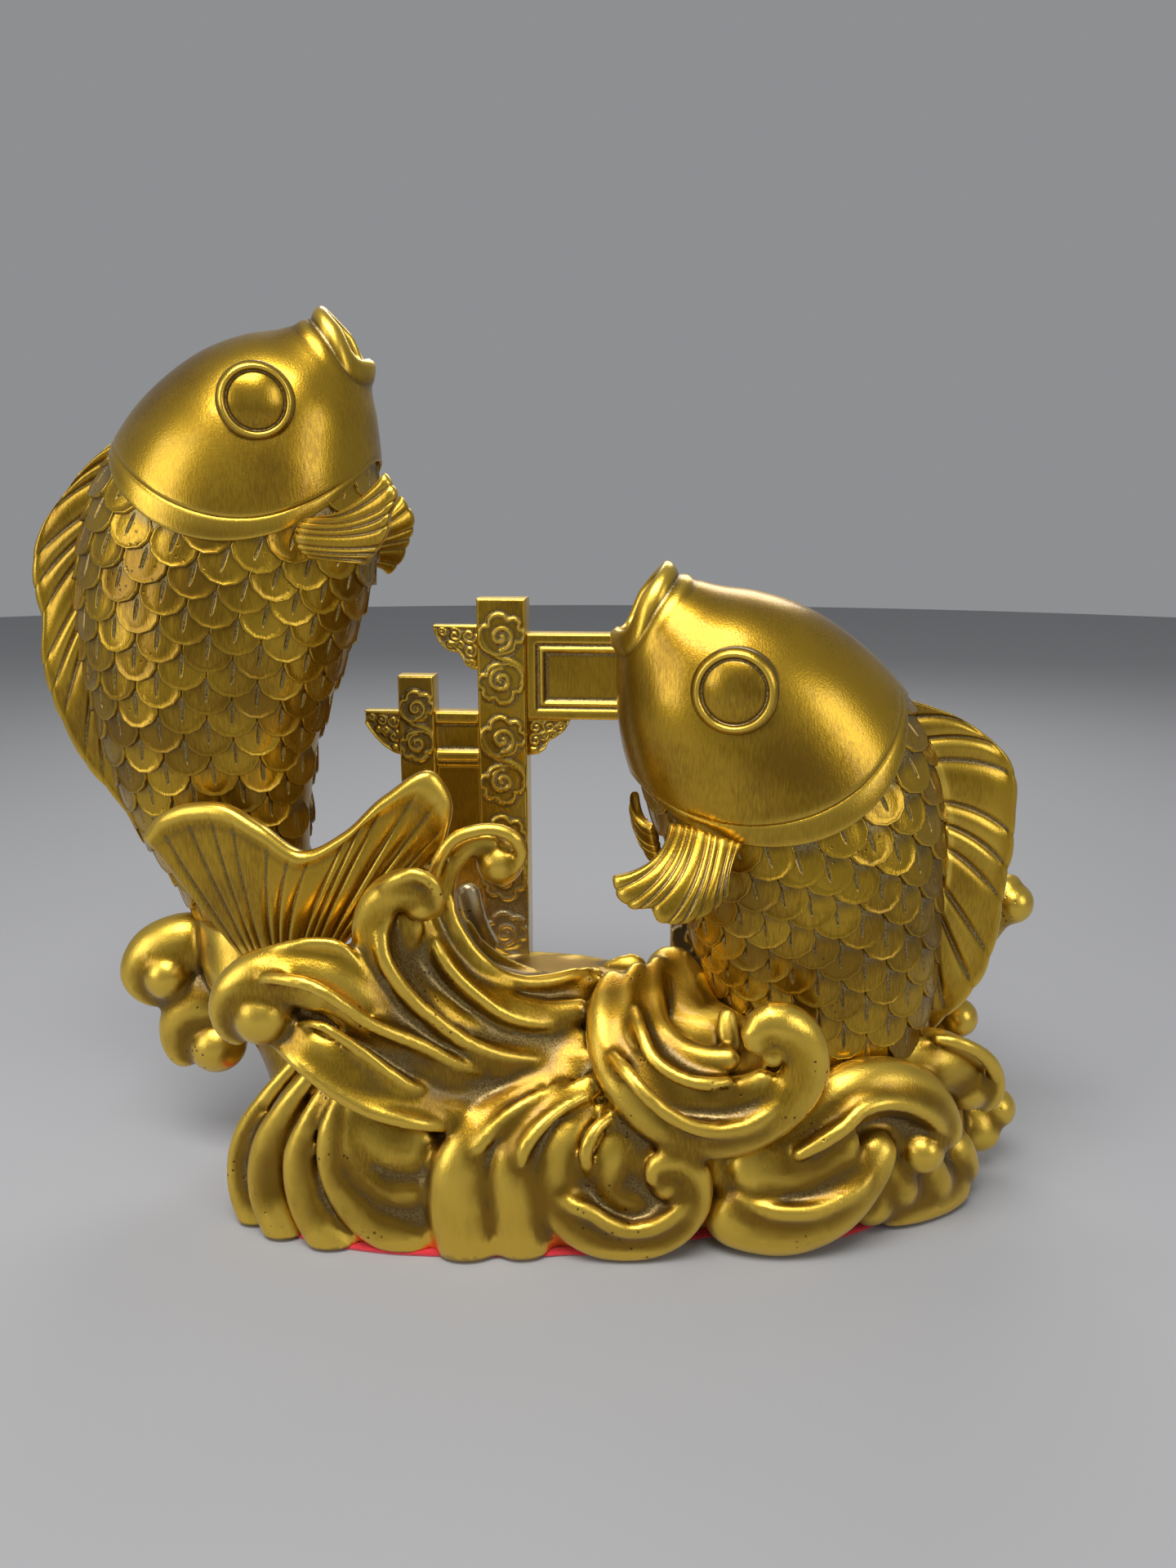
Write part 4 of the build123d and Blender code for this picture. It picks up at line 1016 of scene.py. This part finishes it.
# Gill cover: way back from its edge, and height of the crease, the band and the rolled edge
band_rows = ((2.4, 0.0), (1.4, -0.05), (0.8, -0.2), (0.4, -0.5), (0.15, -0.8), (0.0, -0.85), (-0.15, -0.75),
             (-0.6, -0.55), (-1.4, -0.45))
edge_rows = ((2.6, -0.40), (1.4, -0.42), (0.6, -0.5), (0.25, -0.65), (0.06, -0.95), (0.0, -1.4), (0.1, -2.2),
             (0.8, -3.4), (2.5, -5.0))
band_width = 7.5
band_least = 1.6
band_power = 1.5
crease_power = 0.8
edge_hold_share = 0.4
edge_hold_least = 0.4


def way_to_edge(carp, around):
    """For each angle, the way along the spine at which the skin leaves the gill cover."""
    fine = np.linspace(0, spines[carp[0]][1][-1] * gill_reach_share, gill_edge_steps)
    depth = inside_gill(carp, on_skin(carp, fine[:, None], around[None], gill_step))
    last = len(fine) - 1 - np.argmax(depth[::-1] > 0, axis=0)
    return fine[last]


def head_skin(carp):
    """The rings of a head from the back of its mouth, over the lips, to under its gill cover."""
    around = round_grid(head_columns)
    edge = way_to_edge(carp, around)
    for turn in range(gill_edge_rounds):
        edge = (np.roll(edge, 1) + 2 * edge + np.roll(edge, -1)) / 4
    off_back = np.abs((around + math.pi) % (2 * math.pi) - math.pi)
    corner = np.exp(-((off_back - lip_corner) / lip_corner_spread) ** 2)
    rim = lip_back * corner
    upper = (0.5 + 0.5 * np.cos(off_back)) ** lip_power * (1 - lip_corner_share * corner)
    lower = np.clip((off_back - lip_corner) / (math.pi - lip_corner), 0, 1)
    rings = []
    for back, squeeze in mouth_rows:
        rings.append(on_skin(carp, rim + back, around, gill_step, squeeze))
    for back, rise in lip_rows:
        below = lower_lip_rise * lower * math.exp(-((back - lower_lip_middle) / lower_lip_reach) ** 2)
        lift = rise * (lip_shares[0] + lip_shares[1] * upper) + below
        rings.append(on_skin(carp, np.maximum(rim + back, least_way), around, gill_step + lift))
    for back, rise in fold_rows:
        rings.append(on_skin(carp, rim + back, around, gill_step + rise * upper))
    width = band_least + (band_width - band_least) * np.abs(np.sin(around)) ** band_power
    share = np.abs(np.sin(around)) ** crease_power
    start = rim + fold_rows[-1][0] + head_row_gap
    stop = edge - width - band_rows[0][0] - head_row_gap
    for step in np.linspace(0, 1, head_rows):
        rings.append(on_skin(carp, start + (stop - start) * step, around, gill_step))
    for ahead, rise in band_rows:
        rings.append(on_skin(carp, edge - width - ahead, around, gill_step + rise * share))
    for ahead, rise in edge_rows:
        held = np.minimum(ahead, width * edge_hold_share + edge_hold_least)
        rings.append(on_skin(carp, edge - held, around, gill_step + rise))
    return np.array(rings)


for carp in (left_carp, right_carp):
    head = mesh_of(carp[0] + "_gill_cover_and_head", *skin(head_skin(carp)))
    mark_hollows(head, head_hollow_rounds, head_hollow_depth)
    finish(carp[0] + "_head_casting", head, skin_gold, [carp[0] + "_head"])

# Eyes: a low dome inside a raised ring, turned as one piece and glued into a seat on each side
# of the head.
eye_sides = 96
# Outline of an eye from its middle to its wall: radius share, height, and how hollow it counts, which gives
# painted shade in the groove and a painted highlight on the ring
eye_rows = (
    (0.0, 2.4, -0.2), (0.15, 2.36, -0.2), (0.3, 2.15, -0.1), (0.45, 1.75, -0.1), (0.58, 1.25, 0.0),
    (0.66, 0.8, 0.1), (0.70, 0.55, 0.3), (0.725, 0.25, 0.7), (0.74, 0.25, 0.7), (0.76, 0.75, 0.1),
    (0.79, 1.4, -0.5), (0.83, 1.7, -0.8), (0.87, 1.55, -0.5), (0.92, 1.1, -0.2), (0.965, 0.5, 0.1),
    (0.99, 0.0, 0.4), (1.0, -0.8, 0.4), (1.0, -4.5, 0.4),
)
eye_middle_share = 0.004
# Place of an eye as shares of the carp's length, turn in degrees, and radius
eye_spots = {
    "left_carp": ((0.056, -0.026, 0.172), 15.0, 11.3),
    "right_carp": ((-0.073, 0.028, 0.172), -15.0, 12.6),
}
for carp in (left_carp, right_carp):
    spot, swing, eye_radius = eye_spots[carp[0]]
    for side, word in ((-1, "near"), (1, "far")):
        turn = math.radians(swing)
        outward = np.array((math.sin(turn), side * math.cos(turn), 0.0))
        level = np.array((outward[1], -outward[0], 0.0))
        centre = carp[1] + np.array((spot[0], side * spot[2], spot[1])) * carp_length
        angles = round_grid(eye_sides)
        rings = []
        for share, height, mark in eye_rows:
            reach = max(share, eye_middle_share) * eye_radius
            flat = np.cos(angles)[:, None] * level + np.sin(angles)[:, None] * np.array((0, 0, 1.0))
            rings.append(centre + flat * reach + outward * height)
        eye = mesh_of(carp[0] + "_eye", *skin(rings))
        marks = np.repeat([row[2] for row in eye_rows], eye_sides)
        write(eye, "hollow", np.concatenate((marks, (eye_rows[0][2], eye_rows[-1][2]))))
        finish(carp[0] + "_eye_casting_" + word, eye, skin_gold, [carp[0] + "_eye_" + word])

# Back fins: thin resin castings with pressed rays and a smooth rim, glued along the back of
# each carp from the gill cover to the foot.
ray_columns = 14
fin_rows = 36
fin_row_power = 1.3
ray_sway = 0.22
ray_sway_step = 2.1
ray_middle = 0.35
wave_middle = 0.7
# Rounding of a fin at its tip and sides, and shares of its thickness at an edge and added inside
tip_rounding = 9
side_rounding = 1.6
wall_shares = (0.25, 0.75)
rim_fade = 0.24
rim_place = 0.05
rim_half = 0.07
fin_hollow_rounds = 8
fin_hollow_depth = 0.3
dorsal_thickness = 3.6


def slab(front, back):
    """Points and faces of a closed sheet between a front and a back grid of points."""
    rows, columns = front.shape[:2]
    points = np.concatenate((front.reshape(-1, 3), back.reshape(-1, 3)))
    shift = rows * columns
    faces = []
    for row in range(rows - 1):
        for column in range(columns - 1):
            here = row * columns + column
            faces.append([here, here + 1, here + columns + 1, here + columns])
            faces.append([shift + here, shift + here + columns, shift + here + columns + 1, shift + here + 1])
    rim = [(0, column) for column in range(columns - 1)]
    rim += [(row, columns - 1) for row in range(rows - 1)]
    rim += [(rows - 1, column) for column in range(columns - 1, 0, -1)]
    rim += [(row, 0) for row in range(rows - 1, 0, -1)]
    for (row, column), (next_row, next_column) in zip(rim, rim[1:] + rim[:1]):
        here, there = row * columns + column, next_row * columns + next_column
        faces.append([here, shift + here, shift + there, there])
    return points, faces


def fan(name, root, bend, edge, rays, thickness, ridge_height, wave, rim=0.0):
    """A fin of rounded rays that spread from a root line, over a bend, to an outer edge."""
    count = rays * ray_columns + 1
    lines = [smooth(line, count)[:, :3] for line in (root, bend, edge)]
    ray = np.linspace(0, rays, count)
    ray = (ray + ray_sway * np.sin(ray_sway_step * ray) * np.sin(math.pi * ray / rays)) % 1
    ray = np.where(np.arange(count) == count - 1, 1, ray)
    bulge = np.sqrt(np.clip(1 - (2 * ray - 1) ** 2, 0, 1))
    outward = unit(lines[2] - lines[1])
    lines[2] = lines[2] + outward * ((bulge - wave_middle) * wave)[:, None]
    v = np.linspace(0, 1, fin_rows)[:, None, None]
    v = 1 - (1 - v) ** fin_row_power
    middle = (1 - v) ** 2 * lines[0] + 2 * v * (1 - v) * lines[1] + v ** 2 * lines[2]
    down, across = np.gradient(middle, axis=0), np.gradient(middle, axis=1)
    normal = unit(np.cross(down, across))
    if normal[..., 1].mean() > 0:
        normal = -normal
    v = v[:, :, 0]
    share = np.linspace(0, 1, count)[None]
    sides = np.minimum(share * rays * side_rounding, (1 - share) * rays * side_rounding)
    border = np.minimum((1 - v) * tip_rounding, sides).clip(0, 1)
    rounding = np.sqrt(1 - (1 - border) ** 2)
    smooth_rim = np.exp(-((1 - v) / rim_fade) ** 2) if rim else 0
    height = thickness / 2 * (wall_shares[0] + wall_shares[1] * rounding)
    height = height + ridge_height * (bulge[None] - ray_middle) * rounding * (1 - smooth_rim)
    if rim:
        height = height + rim * np.exp(-((1 - v - rim_place) / rim_half) ** 2)
    offset = normal * height[..., None]
    mesh = mesh_of(name, *slab(middle + offset, middle - offset))
    mark_hollows(mesh, fin_hollow_rounds, fin_hollow_depth)
    return mesh


def on_carp(carp, shares, depth):
    """Points in a carp's upright plane, from shares of its length and a depth."""
    return [(carp[1][0] + x * carp_length, depth, carp[1][2] + z * carp_length) for x, z in shares]


fin_gold = gold_paint("fin_gold", brush_turn=(0.1, 0.7, 0.2), brush=0.3, wax=0.6)
left_dorsal_edge = (
    (-0.190, -0.040), (-0.240, -0.100), (-0.294, -0.125), (-0.342, -0.176), (-0.380, -0.221),
    (-0.403, -0.272), (-0.409, -0.324), (-0.400, -0.392), (-0.408, -0.466), (-0.397, -0.531),
    (-0.371, -0.607), (-0.345, -0.661), (-0.305, -0.713), (-0.276, -0.757), (-0.250, -0.815),
)
left_dorsal_root = (
    (-0.110, -0.005), (-0.180, -0.060), (-0.240, -0.160), (-0.280, -0.280), (-0.290, -0.410),
    (-0.275, -0.540),
)
left_dorsal_bend = (
    (-0.155, -0.015), (-0.250, -0.075), (-0.325, -0.175), (-0.352, -0.300), (-0.352, -0.440),
    (-0.285, -0.690),
)
right_dorsal_edge = (
    (0.195, 0.000), (0.259, -0.016), (0.340, -0.045), (0.386, -0.076), (0.418, -0.106),
    (0.437, -0.144), (0.441, -0.211), (0.443, -0.267), (0.436, -0.324), (0.432, -0.381),
    (0.424, -0.452), (0.407, -0.512), (0.376, -0.560), (0.335, -0.602), (0.290, -0.650),
)
right_dorsal_root = (
    (0.130, 0.010), (0.210, -0.030), (0.280, -0.110), (0.318, -0.230), (0.322, -0.350), (0.300, -0.490),
)
right_dorsal_bend = (
    (0.165, 0.010), (0.265, -0.010), (0.360, -0.075), (0.390, -0.180), (0.380, -0.310), (0.300, -0.570),
)
for carp, root, bend, edge, rays, ridge_height in (
        (left_carp, left_dorsal_root, left_dorsal_bend, left_dorsal_edge, 14, 1.7),
        (right_carp, right_dorsal_root, right_dorsal_bend, right_dorsal_edge, 11, 2.4)):
    lines = [on_carp(carp, shares, carp[1][1]) for shares in (root, bend, edge)]
    fin = fan(carp[0] + "_dorsal", *lines, rays, dorsal_thickness, ridge_height, wave=1.0, rim=0.4)
    finish(carp[0] + "_dorsal_casting", fin, fin_gold, [carp[0] + "_dorsal_fin"])

# Flank fins: four small fans of cast resin, glued on below the gill covers, a near and a far one
# on each carp.
flank_thickness = 3.2
# Lines from the root over a bend to the rim: pixel across, pixel down and depth in mm
left_near_root = ((392, 640, -21), (368, 650, -20), (366, 664, -19), (384, 680, -18))
left_near_bend = ((436, 622, -34), (446, 652, -34), (442, 674, -32), (428, 692, -28))
left_near_edge = (
    (472, 578, -35), (486, 606, -36), (478, 630, -36), (475, 652, -35), (462, 672, -32),
    (440, 688, -28),
)
left_far_root = ((438, 650, 30), (436, 668, 32), (438, 690, 34))
left_far_bend = ((474, 634, 39), (480, 662, 40), (466, 692, 40))
left_far_edge = ((490, 606, 42), (506, 634, 44), (499, 662, 45), (490, 686, 44), (474, 704, 42))
right_near_root = ((820, 1013, -40), (850, 1018, -44), (880, 1028, -46), (908, 1038, -46))
right_near_bend = ((812, 1062, -54), (836, 1082, -58), (870, 1090, -58), (892, 1070, -54))
right_near_edge = (
    (750, 1072, -52), (757, 1098, -54), (776, 1113, -56), (797, 1113, -57), (806, 1127, -58),
    (838, 1129, -58), (868, 1115, -56), (892, 1088, -53),
)
right_far_root = ((800, 1010, 8), (805, 1035, 10), (812, 1060, 12))
right_far_bend = ((778, 1005, 13), (784, 1040, 14), (794, 1060, 14))
right_far_edge = ((777, 968, 14), (776, 988, 15), (784, 1003, 15), (793, 1001, 15))
flank_fins = (
    ("left_carp", "near", (left_near_root, left_near_bend, left_near_edge), 8, 0.85),
    ("left_carp", "far", (left_far_root, left_far_bend, left_far_edge), 6, 0.7),
    ("right_carp", "near", (right_near_root, right_near_bend, right_near_edge), 10, 0.8),
    ("right_carp", "far", (right_far_root, right_far_bend, right_far_edge), 5, 0.6),
)
for carp_name, word, drawn_lines, rays, ridge_height in flank_fins:
    name = carp_name + "_" + word + "_fan"
    lines = [[tuple(seen(*row)) for row in line] for line in drawn_lines]
    fin = fan(name, *lines, rays, flank_thickness, ridge_height, wave=0.7)
    finish(name, fin, fin_gold, [carp_name + "_pectoral_fin_" + word])

# Tail fin: a thick two-lobed casting of the left carp's tail, cupped and with a rolled rim. It
# stands in front of the trunk, glued to it and to the water at its root.
tail_thickness = 4.0
tail_rays = 14
tail_ridge_height = 1.2
tail_root = ((300, 1168, -20), (330, 1172, -24), (360, 1172, -26), (390, 1165, -26), (420, 1150, -24))
tail_bend = ((222, 1085, -22), (290, 1080, -26), (360, 1110, -28), (430, 1085, -28), (500, 1080, -24))
tail_edge = (
    (178, 1022, -18), (200, 995, -21), (240, 983, -24), (275, 985, -26), (320, 1010, -28),
    (372, 1042, -28), (420, 1020, -28), (470, 975, -27), (530, 945, -25), (552, 975, -24),
    (545, 1035, -23),
)
lines = [[tuple(seen(*row)) for row in line] for line in (tail_root, tail_bend, tail_edge)]
tail = fan("left_carp_tail", *lines, tail_rays, tail_thickness, tail_ridge_height, wave=0.0, rim=1.1)
finish("left_carp_tail_casting", tail, fin_gold, ["left_carp_tail_fin"])

# Gate: posts, beams and brackets cast as thin resin boards, with clouds, mouldings and curls on
# both faces. It stands turned a little about its middle, so its boards are drawn in its own frame.
gate_place = (12.0, 27.0)
gate_turn = math.radians(-4)
bay_edge = 25.4
tall_edge = 42.2
short_inner = 57.9
short_outer = 70.5
post_foot = 40.0
beam_foot = 131.7
beam_top = 151.1
plaque_foot = 149.0
# Boards: inner and outer edge from the middle of the gate, foot, top, front and back
tall_post = (bay_edge, tall_edge, post_foot, 190.5, 0.0, 14.0)
short_post = (short_inner, short_outer, post_foot, 163.7, 1.5, 12.5)
side_beam = (tall_edge, short_inner, beam_foot, beam_top, 2.5, 11.5)
side_panel = (tall_edge, short_inner, 60.0, beam_foot, 4.5, 9.5)
plaque = (-bay_edge, bay_edge, plaque_foot, 178.6, 2.0, 12.0)
edge_round_shares = (0.0, 0.15, 0.4, 0.75)
carve_step = 0.55
edge_round = 0.8
carve_rise = 0.75
ridge_half = 0.62
cloud_steps = 80
cloud_body_rise = 0.35
cloud_curl_rise = 0.55
link_steps = 30
link_fall = 1.95
link_half = 1.0
link_rise = 0.65
board_hollow_rounds = 8
board_hollow_depth = 0.22
# Bare resin shows at the foot of the gate: heights and shares
bare_heights = (60, 78, 96)
bare_shares = (0.75, 0.55, 0.0)
# Clouds down a post: height of the upper one of each pair, way down to the lower one, and radius
tall_clouds = ((177.4, 141.9, 106.4, 70.9), 14.8, 7.3)
short_clouds = ((152.3, 121.0, 89.7, 58.4), 12.4, 5.6)
# Outline, curl and link of a cloud, as shares of its radius
cloud_shares = (
    (-0.30, -0.80), (-0.74, -0.62), (-1.00, -0.22), (-1.00, 0.24), (-0.78, 0.52), (-0.60, 0.50),
    (-0.52, 0.84), (-0.20, 1.05), (0.14, 1.00), (0.32, 0.80), (0.62, 0.86), (0.88, 0.64), (0.84, 0.42),
    (1.06, 0.26), (1.08, -0.06), (0.88, -0.24), (0.70, -0.20), (0.60, -0.52), (0.30, -0.70),
)
curl_turns = 1.35
curl_steps = 22
curl_reach_shares = (0.60, 0.10)
link_shares = (
    (-1.0, 0.30), (-0.82, -0.26), (-0.50, -0.66), (0.0, -0.96), (0.54, -1.14), (0.90, -1.38),
    (1.04, -1.72), (0.96, -2.10),
)
plaque_rows = (
    (0.0, 0.0), (3.2, 0.0), (3.7, -0.75), (4.3, -0.75), (4.9, 0.05), (5.8, 0.05), (6.4, -0.8),
    (7.2, -1.0), (30.0, -1.0),
)
beam_rows = (
    (0.0, 0.0), (3.6, 0.0), (4.1, -0.9), (5.0, -1.1), (12.6, -1.1), (13.4, -0.9), (14.0, 0.3),
    (16.6, 0.5), (17.4, -0.2), (19.4, -0.3),
)
# Lower edges of the brackets, as shares of their width and height
spandrel_shares = (
    (0.0, 1.0), (0.25, 0.96), (0.42, 0.82), (0.50, 0.60), (0.65, 0.52), (0.87, 0.33), (0.97, 0.15),
    (1.0, 0.06),
)
upper_shares = (
    (0.0, 1.0), (0.12, 0.99), (0.30, 0.90), (0.36, 0.72), (0.45, 0.62), (0.68, 0.57), (0.85, 0.42),
    (0.97, 0.20), (1.0, 0.08),
)
low_shares = ((0.0, 1.0), (0.2, 0.96), (0.5, 0.80), (0.72, 0.62), (0.9, 0.42), (1.0, 0.28))
# Brackets: start, width, top, height, way out and lower edge
brackets = (
    ("gate_spandrel_", bay_edge, 14.8, plaque_foot, 13.2, -1, spandrel_shares),
    ("gate_upper_bracket_", tall_edge, 15.6, 181.1, 15.4, 1, upper_shares),
    ("gate_low_bracket_", short_outer, 12.5, beam_top, 15.7, 1, low_shares),
)
bracket_steps = 34
bracket_curl_turns = 1.3
bracket_curl_half = 0.5
bracket_rim_half = 0.9
bracket_rise = 0.8
bracket_depth = (3.5, 10.5)
# Curls on a bracket: shares of the way out and down, radius share, and turn in degrees
bracket_curls = (
    (0.20, 0.24, 0.17, 0), (0.52, 0.22, 0.16, 120), (0.80, 0.16, 0.12, 200), (0.18, 0.58, 0.16, 60),
    (0.40, 0.45, 0.12, 250), (0.16, 0.86, 0.09, 150), (0.62, 0.42, 0.09, 20),
)


def in_gate(x, y, z):
    """Places in the gate's own frame, turned and moved to where it stands."""
    turned_x = gate_place[0] + x * math.cos(gate_turn) - y * math.sin(gate_turn)
    turned_y = gate_place[1] + x * math.sin(gate_turn) + y * math.cos(gate_turn)
    return np.stack(np.broadcast_arrays(turned_x, turned_y, z), axis=-1)


def graded(low, high):
    """Evenly spaced values, closer at both ends where the edge is rounded."""
    ends = np.array(edge_round_shares) * edge_round
    inner = np.linspace(low + edge_round, high - edge_round, max(3, int((high - low) / carve_step)))
    return np.concatenate((low + ends, inner, high - ends[::-1]))


def ridge(x, z, line, half=ridge_half, rise=carve_rise):
    """Height of a rounded ridge along a line of points on a board."""
    near = np.full(x.shape, np.inf)
    for (x0, z0), (x1, z1) in zip(line, line[1:]):
        run = max((x1 - x0) ** 2 + (z1 - z0) ** 2, tiny)
        share = (((x - x0) * (x1 - x0) + (z - z0) * (z1 - z0)) / run).clip(0, 1)
        near = np.minimum(near, (x - x0 - share * (x1 - x0)) ** 2 + (z - z0 - share * (z1 - z0)) ** 2)
    return rise * np.exp(-near / half ** 2)


def curl_line(x, z, radius, turns, start, way=1):
    """Points of a spiral that winds in to its middle."""
    share = np.linspace(0, 1, curl_steps)
    angle = start + way * share * turns * 2 * math.pi
    reach = radius * (1 + (curl_reach_shares[1] / curl_reach_shares[0] - 1) * share)
    return np.column_stack((x + reach * np.cos(angle), z + reach * np.sin(angle)))


def inside(x, z, line):
    """Which places of a board lie inside a closed outline."""
    found = np.zeros(x.shape, bool)
    for (x0, z0), (x1, z1) in zip(line, np.roll(line, -1, axis=0)):
        crosses = (z0 > z) != (z1 > z)
        fall = z1 - z0 if z1 != z0 else tiny
        found ^= crosses & (x < x0 + (z - z0) * (x1 - x0) / fall)
    return found


def cloud(x, z, centre, height, radius, flip):
    """Height of one carved cloud: a raised lobed body with a rolled rim and a curl in it."""
    outline = np.array(cloud_shares) * radius * flip + (centre, height)
    closed = smooth(np.concatenate((outline, outline[:1])), cloud_steps, 2)
    curled = curl_line(centre, height, radius * curl_reach_shares[0], curl_turns, -math.pi / 2 * flip)
    body = inside(x, z, closed) * cloud_body_rise
    return np.maximum(body, ridge(x, z, closed)) + ridge(x, z, curled, ridge_half, cloud_curl_rise)


def post_relief(x, z, clouds):
    """Clouds in pairs down a post, each pair joined by a rounded link."""
    heights, fall, radius = clouds
    middle = (x.min() + x.max()) / 2
    relief = np.zeros(x.shape)
    for height in heights:
        relief = np.maximum(relief, cloud(x, z, middle, height, radius, 1))
        relief = np.maximum(relief, cloud(x, z, middle, height - fall, radius, -1))
        link = np.array(link_shares) * (radius, fall / link_fall) + (middle, height)
        relief = np.maximum(relief, ridge(x, z, smooth(link, link_steps, 2), link_half, link_rise))
    return relief - carve_rise


def framed_relief(x, z):
    """A bare sunk panel inside a double moulding."""
    inward = np.minimum(np.minimum(x - x.min(), x.max() - x), np.minimum(z - z.min(), z.max() - z))
    return np.interp(inward, *np.array(plaque_rows).T)


def beam_relief(x, z):
    """Level mouldings, from the top of a side beam down."""
    return np.interp(z.max() - z, *np.array(beam_rows).T)


def bracket_relief(x, z, start, width, top, height, way):
    """A rolled rim with small curls between."""
    relief = np.zeros(x.shape)
    for out, down, share, turn in bracket_curls:
        middle = (start + way * out * width, top - down * height)
        line = curl_line(*middle, share * width, bracket_curl_turns, math.radians(turn), way)
        relief = np.maximum(relief, ridge(x, z, line, bracket_curl_half, bracket_rise))
    rims = [[(xs[0], zs[0]) for xs, zs in zip(x, z)], [(xs[-1], zs[-1]) for xs, zs in zip(x, z)]]
    for rim in rims:
        relief = np.maximum(relief, ridge(x, z, rim, bracket_rim_half, bracket_rise))
    return relief - bracket_rise


def board(start, stem, word, x, z, front, back, relief, material):
    """A board with a carved front and back and rounded edges, in place of its CAD node."""
    name = start + stem[len("gate_"):] + word
    level_rim = np.minimum(np.abs(x - x[:1]), np.abs(x - x[-1:]))
    upright_rim = np.minimum(np.abs(z - z[:, :1]), np.abs(z - z[:, -1:]))
    rim = np.minimum(level_rim, upright_rim).clip(0, edge_round)
    drop = edge_round - np.sqrt(edge_round ** 2 - (edge_round - rim) ** 2)
    near = in_gate(x, front - relief + drop, z)
    far = in_gate(x, back + relief - drop, z)
    mesh = mesh_of(name, *slab(near, far))
    mark_hollows(mesh, board_hollow_rounds, board_hollow_depth)
    height = read(mesh, "vertices", "co", 3)[:, 2] / mm
    write(mesh, "raw", np.interp(height, bare_heights, bare_shares))
    finish(name, mesh, material, [stem + word])


gate_gold = gold_paint("gate_gold", brush_turn=(0.0, 1.57, 0.0), brush=0.5, wax=0.9, pits=0.4)
posts = (("gate_tall_post_", tall_post, tall_clouds), ("gate_short_post_", short_post, short_clouds))
spans = (("gate_side_beam_", side_beam, beam_relief), ("gate_side_panel_", side_panel, None))
for side, word in ((-1, "left"), (1, "right")):
    for stem, post, clouds in posts:
        inner, outer, foot, top, front, back = post
        across = graded(*sorted((side * inner, side * outer)))
        x, z = np.meshgrid(across, graded(foot, top), indexing="ij")
        board("carved_", stem, word, x, z, front, back, post_relief(x, z, clouds), gate_gold)
    for stem, part, relief in spans:
        inner, outer, foot, top, front, back = part
        across = graded(*sorted((side * inner, side * outer)))
        x, z = np.meshgrid(across, graded(foot, top), indexing="ij")
        height = relief(x, z) if relief else np.zeros(x.shape)
        board("moulded_", stem, word, x, z, front, back, height, gate_gold)
    for stem, start, width, top, height, way, lower in brackets:
        out = graded(0.0, width)
        foot = top - height * np.interp(out / width, *np.array(lower).T)
        share = np.linspace(0, 1, bracket_steps)
        x = np.broadcast_to((side * (start + way * out))[:, None], (len(out), len(share)))
        z = foot[:, None] + (top - foot)[:, None] * share
        carved = bracket_relief(x, z, side * start, width, top, height, side * way)
        board("carved_", stem, word, x, z, *bracket_depth, carved, gate_gold)
x, z = np.meshgrid(graded(*plaque[:2]), graded(*plaque[2:4]), indexing="ij")
board("moulded_", "gate_plaque_", "beam", x, z, *plaque[4:], framed_relief(x, z), gate_gold)

# Foot pins: two lengths of plain ground steel rod in the foot of each carp, which hold it in the
# water. They can't be seen.
steel_colours = ((0.42, 0.42, 0.43, 1), (0.62, 0.62, 0.63, 1))
steel, tree, shader = new_material("ground_steel")
place = add(tree, "ShaderNodeTexCoord").outputs["Object"]
grind = add(tree, "ShaderNodeTexNoise", {"Scale": 2500.0, "Detail": 2.0}, {"Vector": place})
ramp = add(tree, "ShaderNodeValToRGB", links={"Fac": grind.outputs["Fac"]})
ramp.color_ramp.elements[0].color = steel_colours[0]
ramp.color_ramp.elements[1].color = steel_colours[1]
tree.links.new(ramp.outputs["Color"], shader.inputs["Base Color"])
shader.inputs["Metallic"].default_value = 1.0
shader.inputs["Roughness"].default_value = 0.35
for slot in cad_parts["steel_foot_pins"].material_slots:
    slot.material = steel
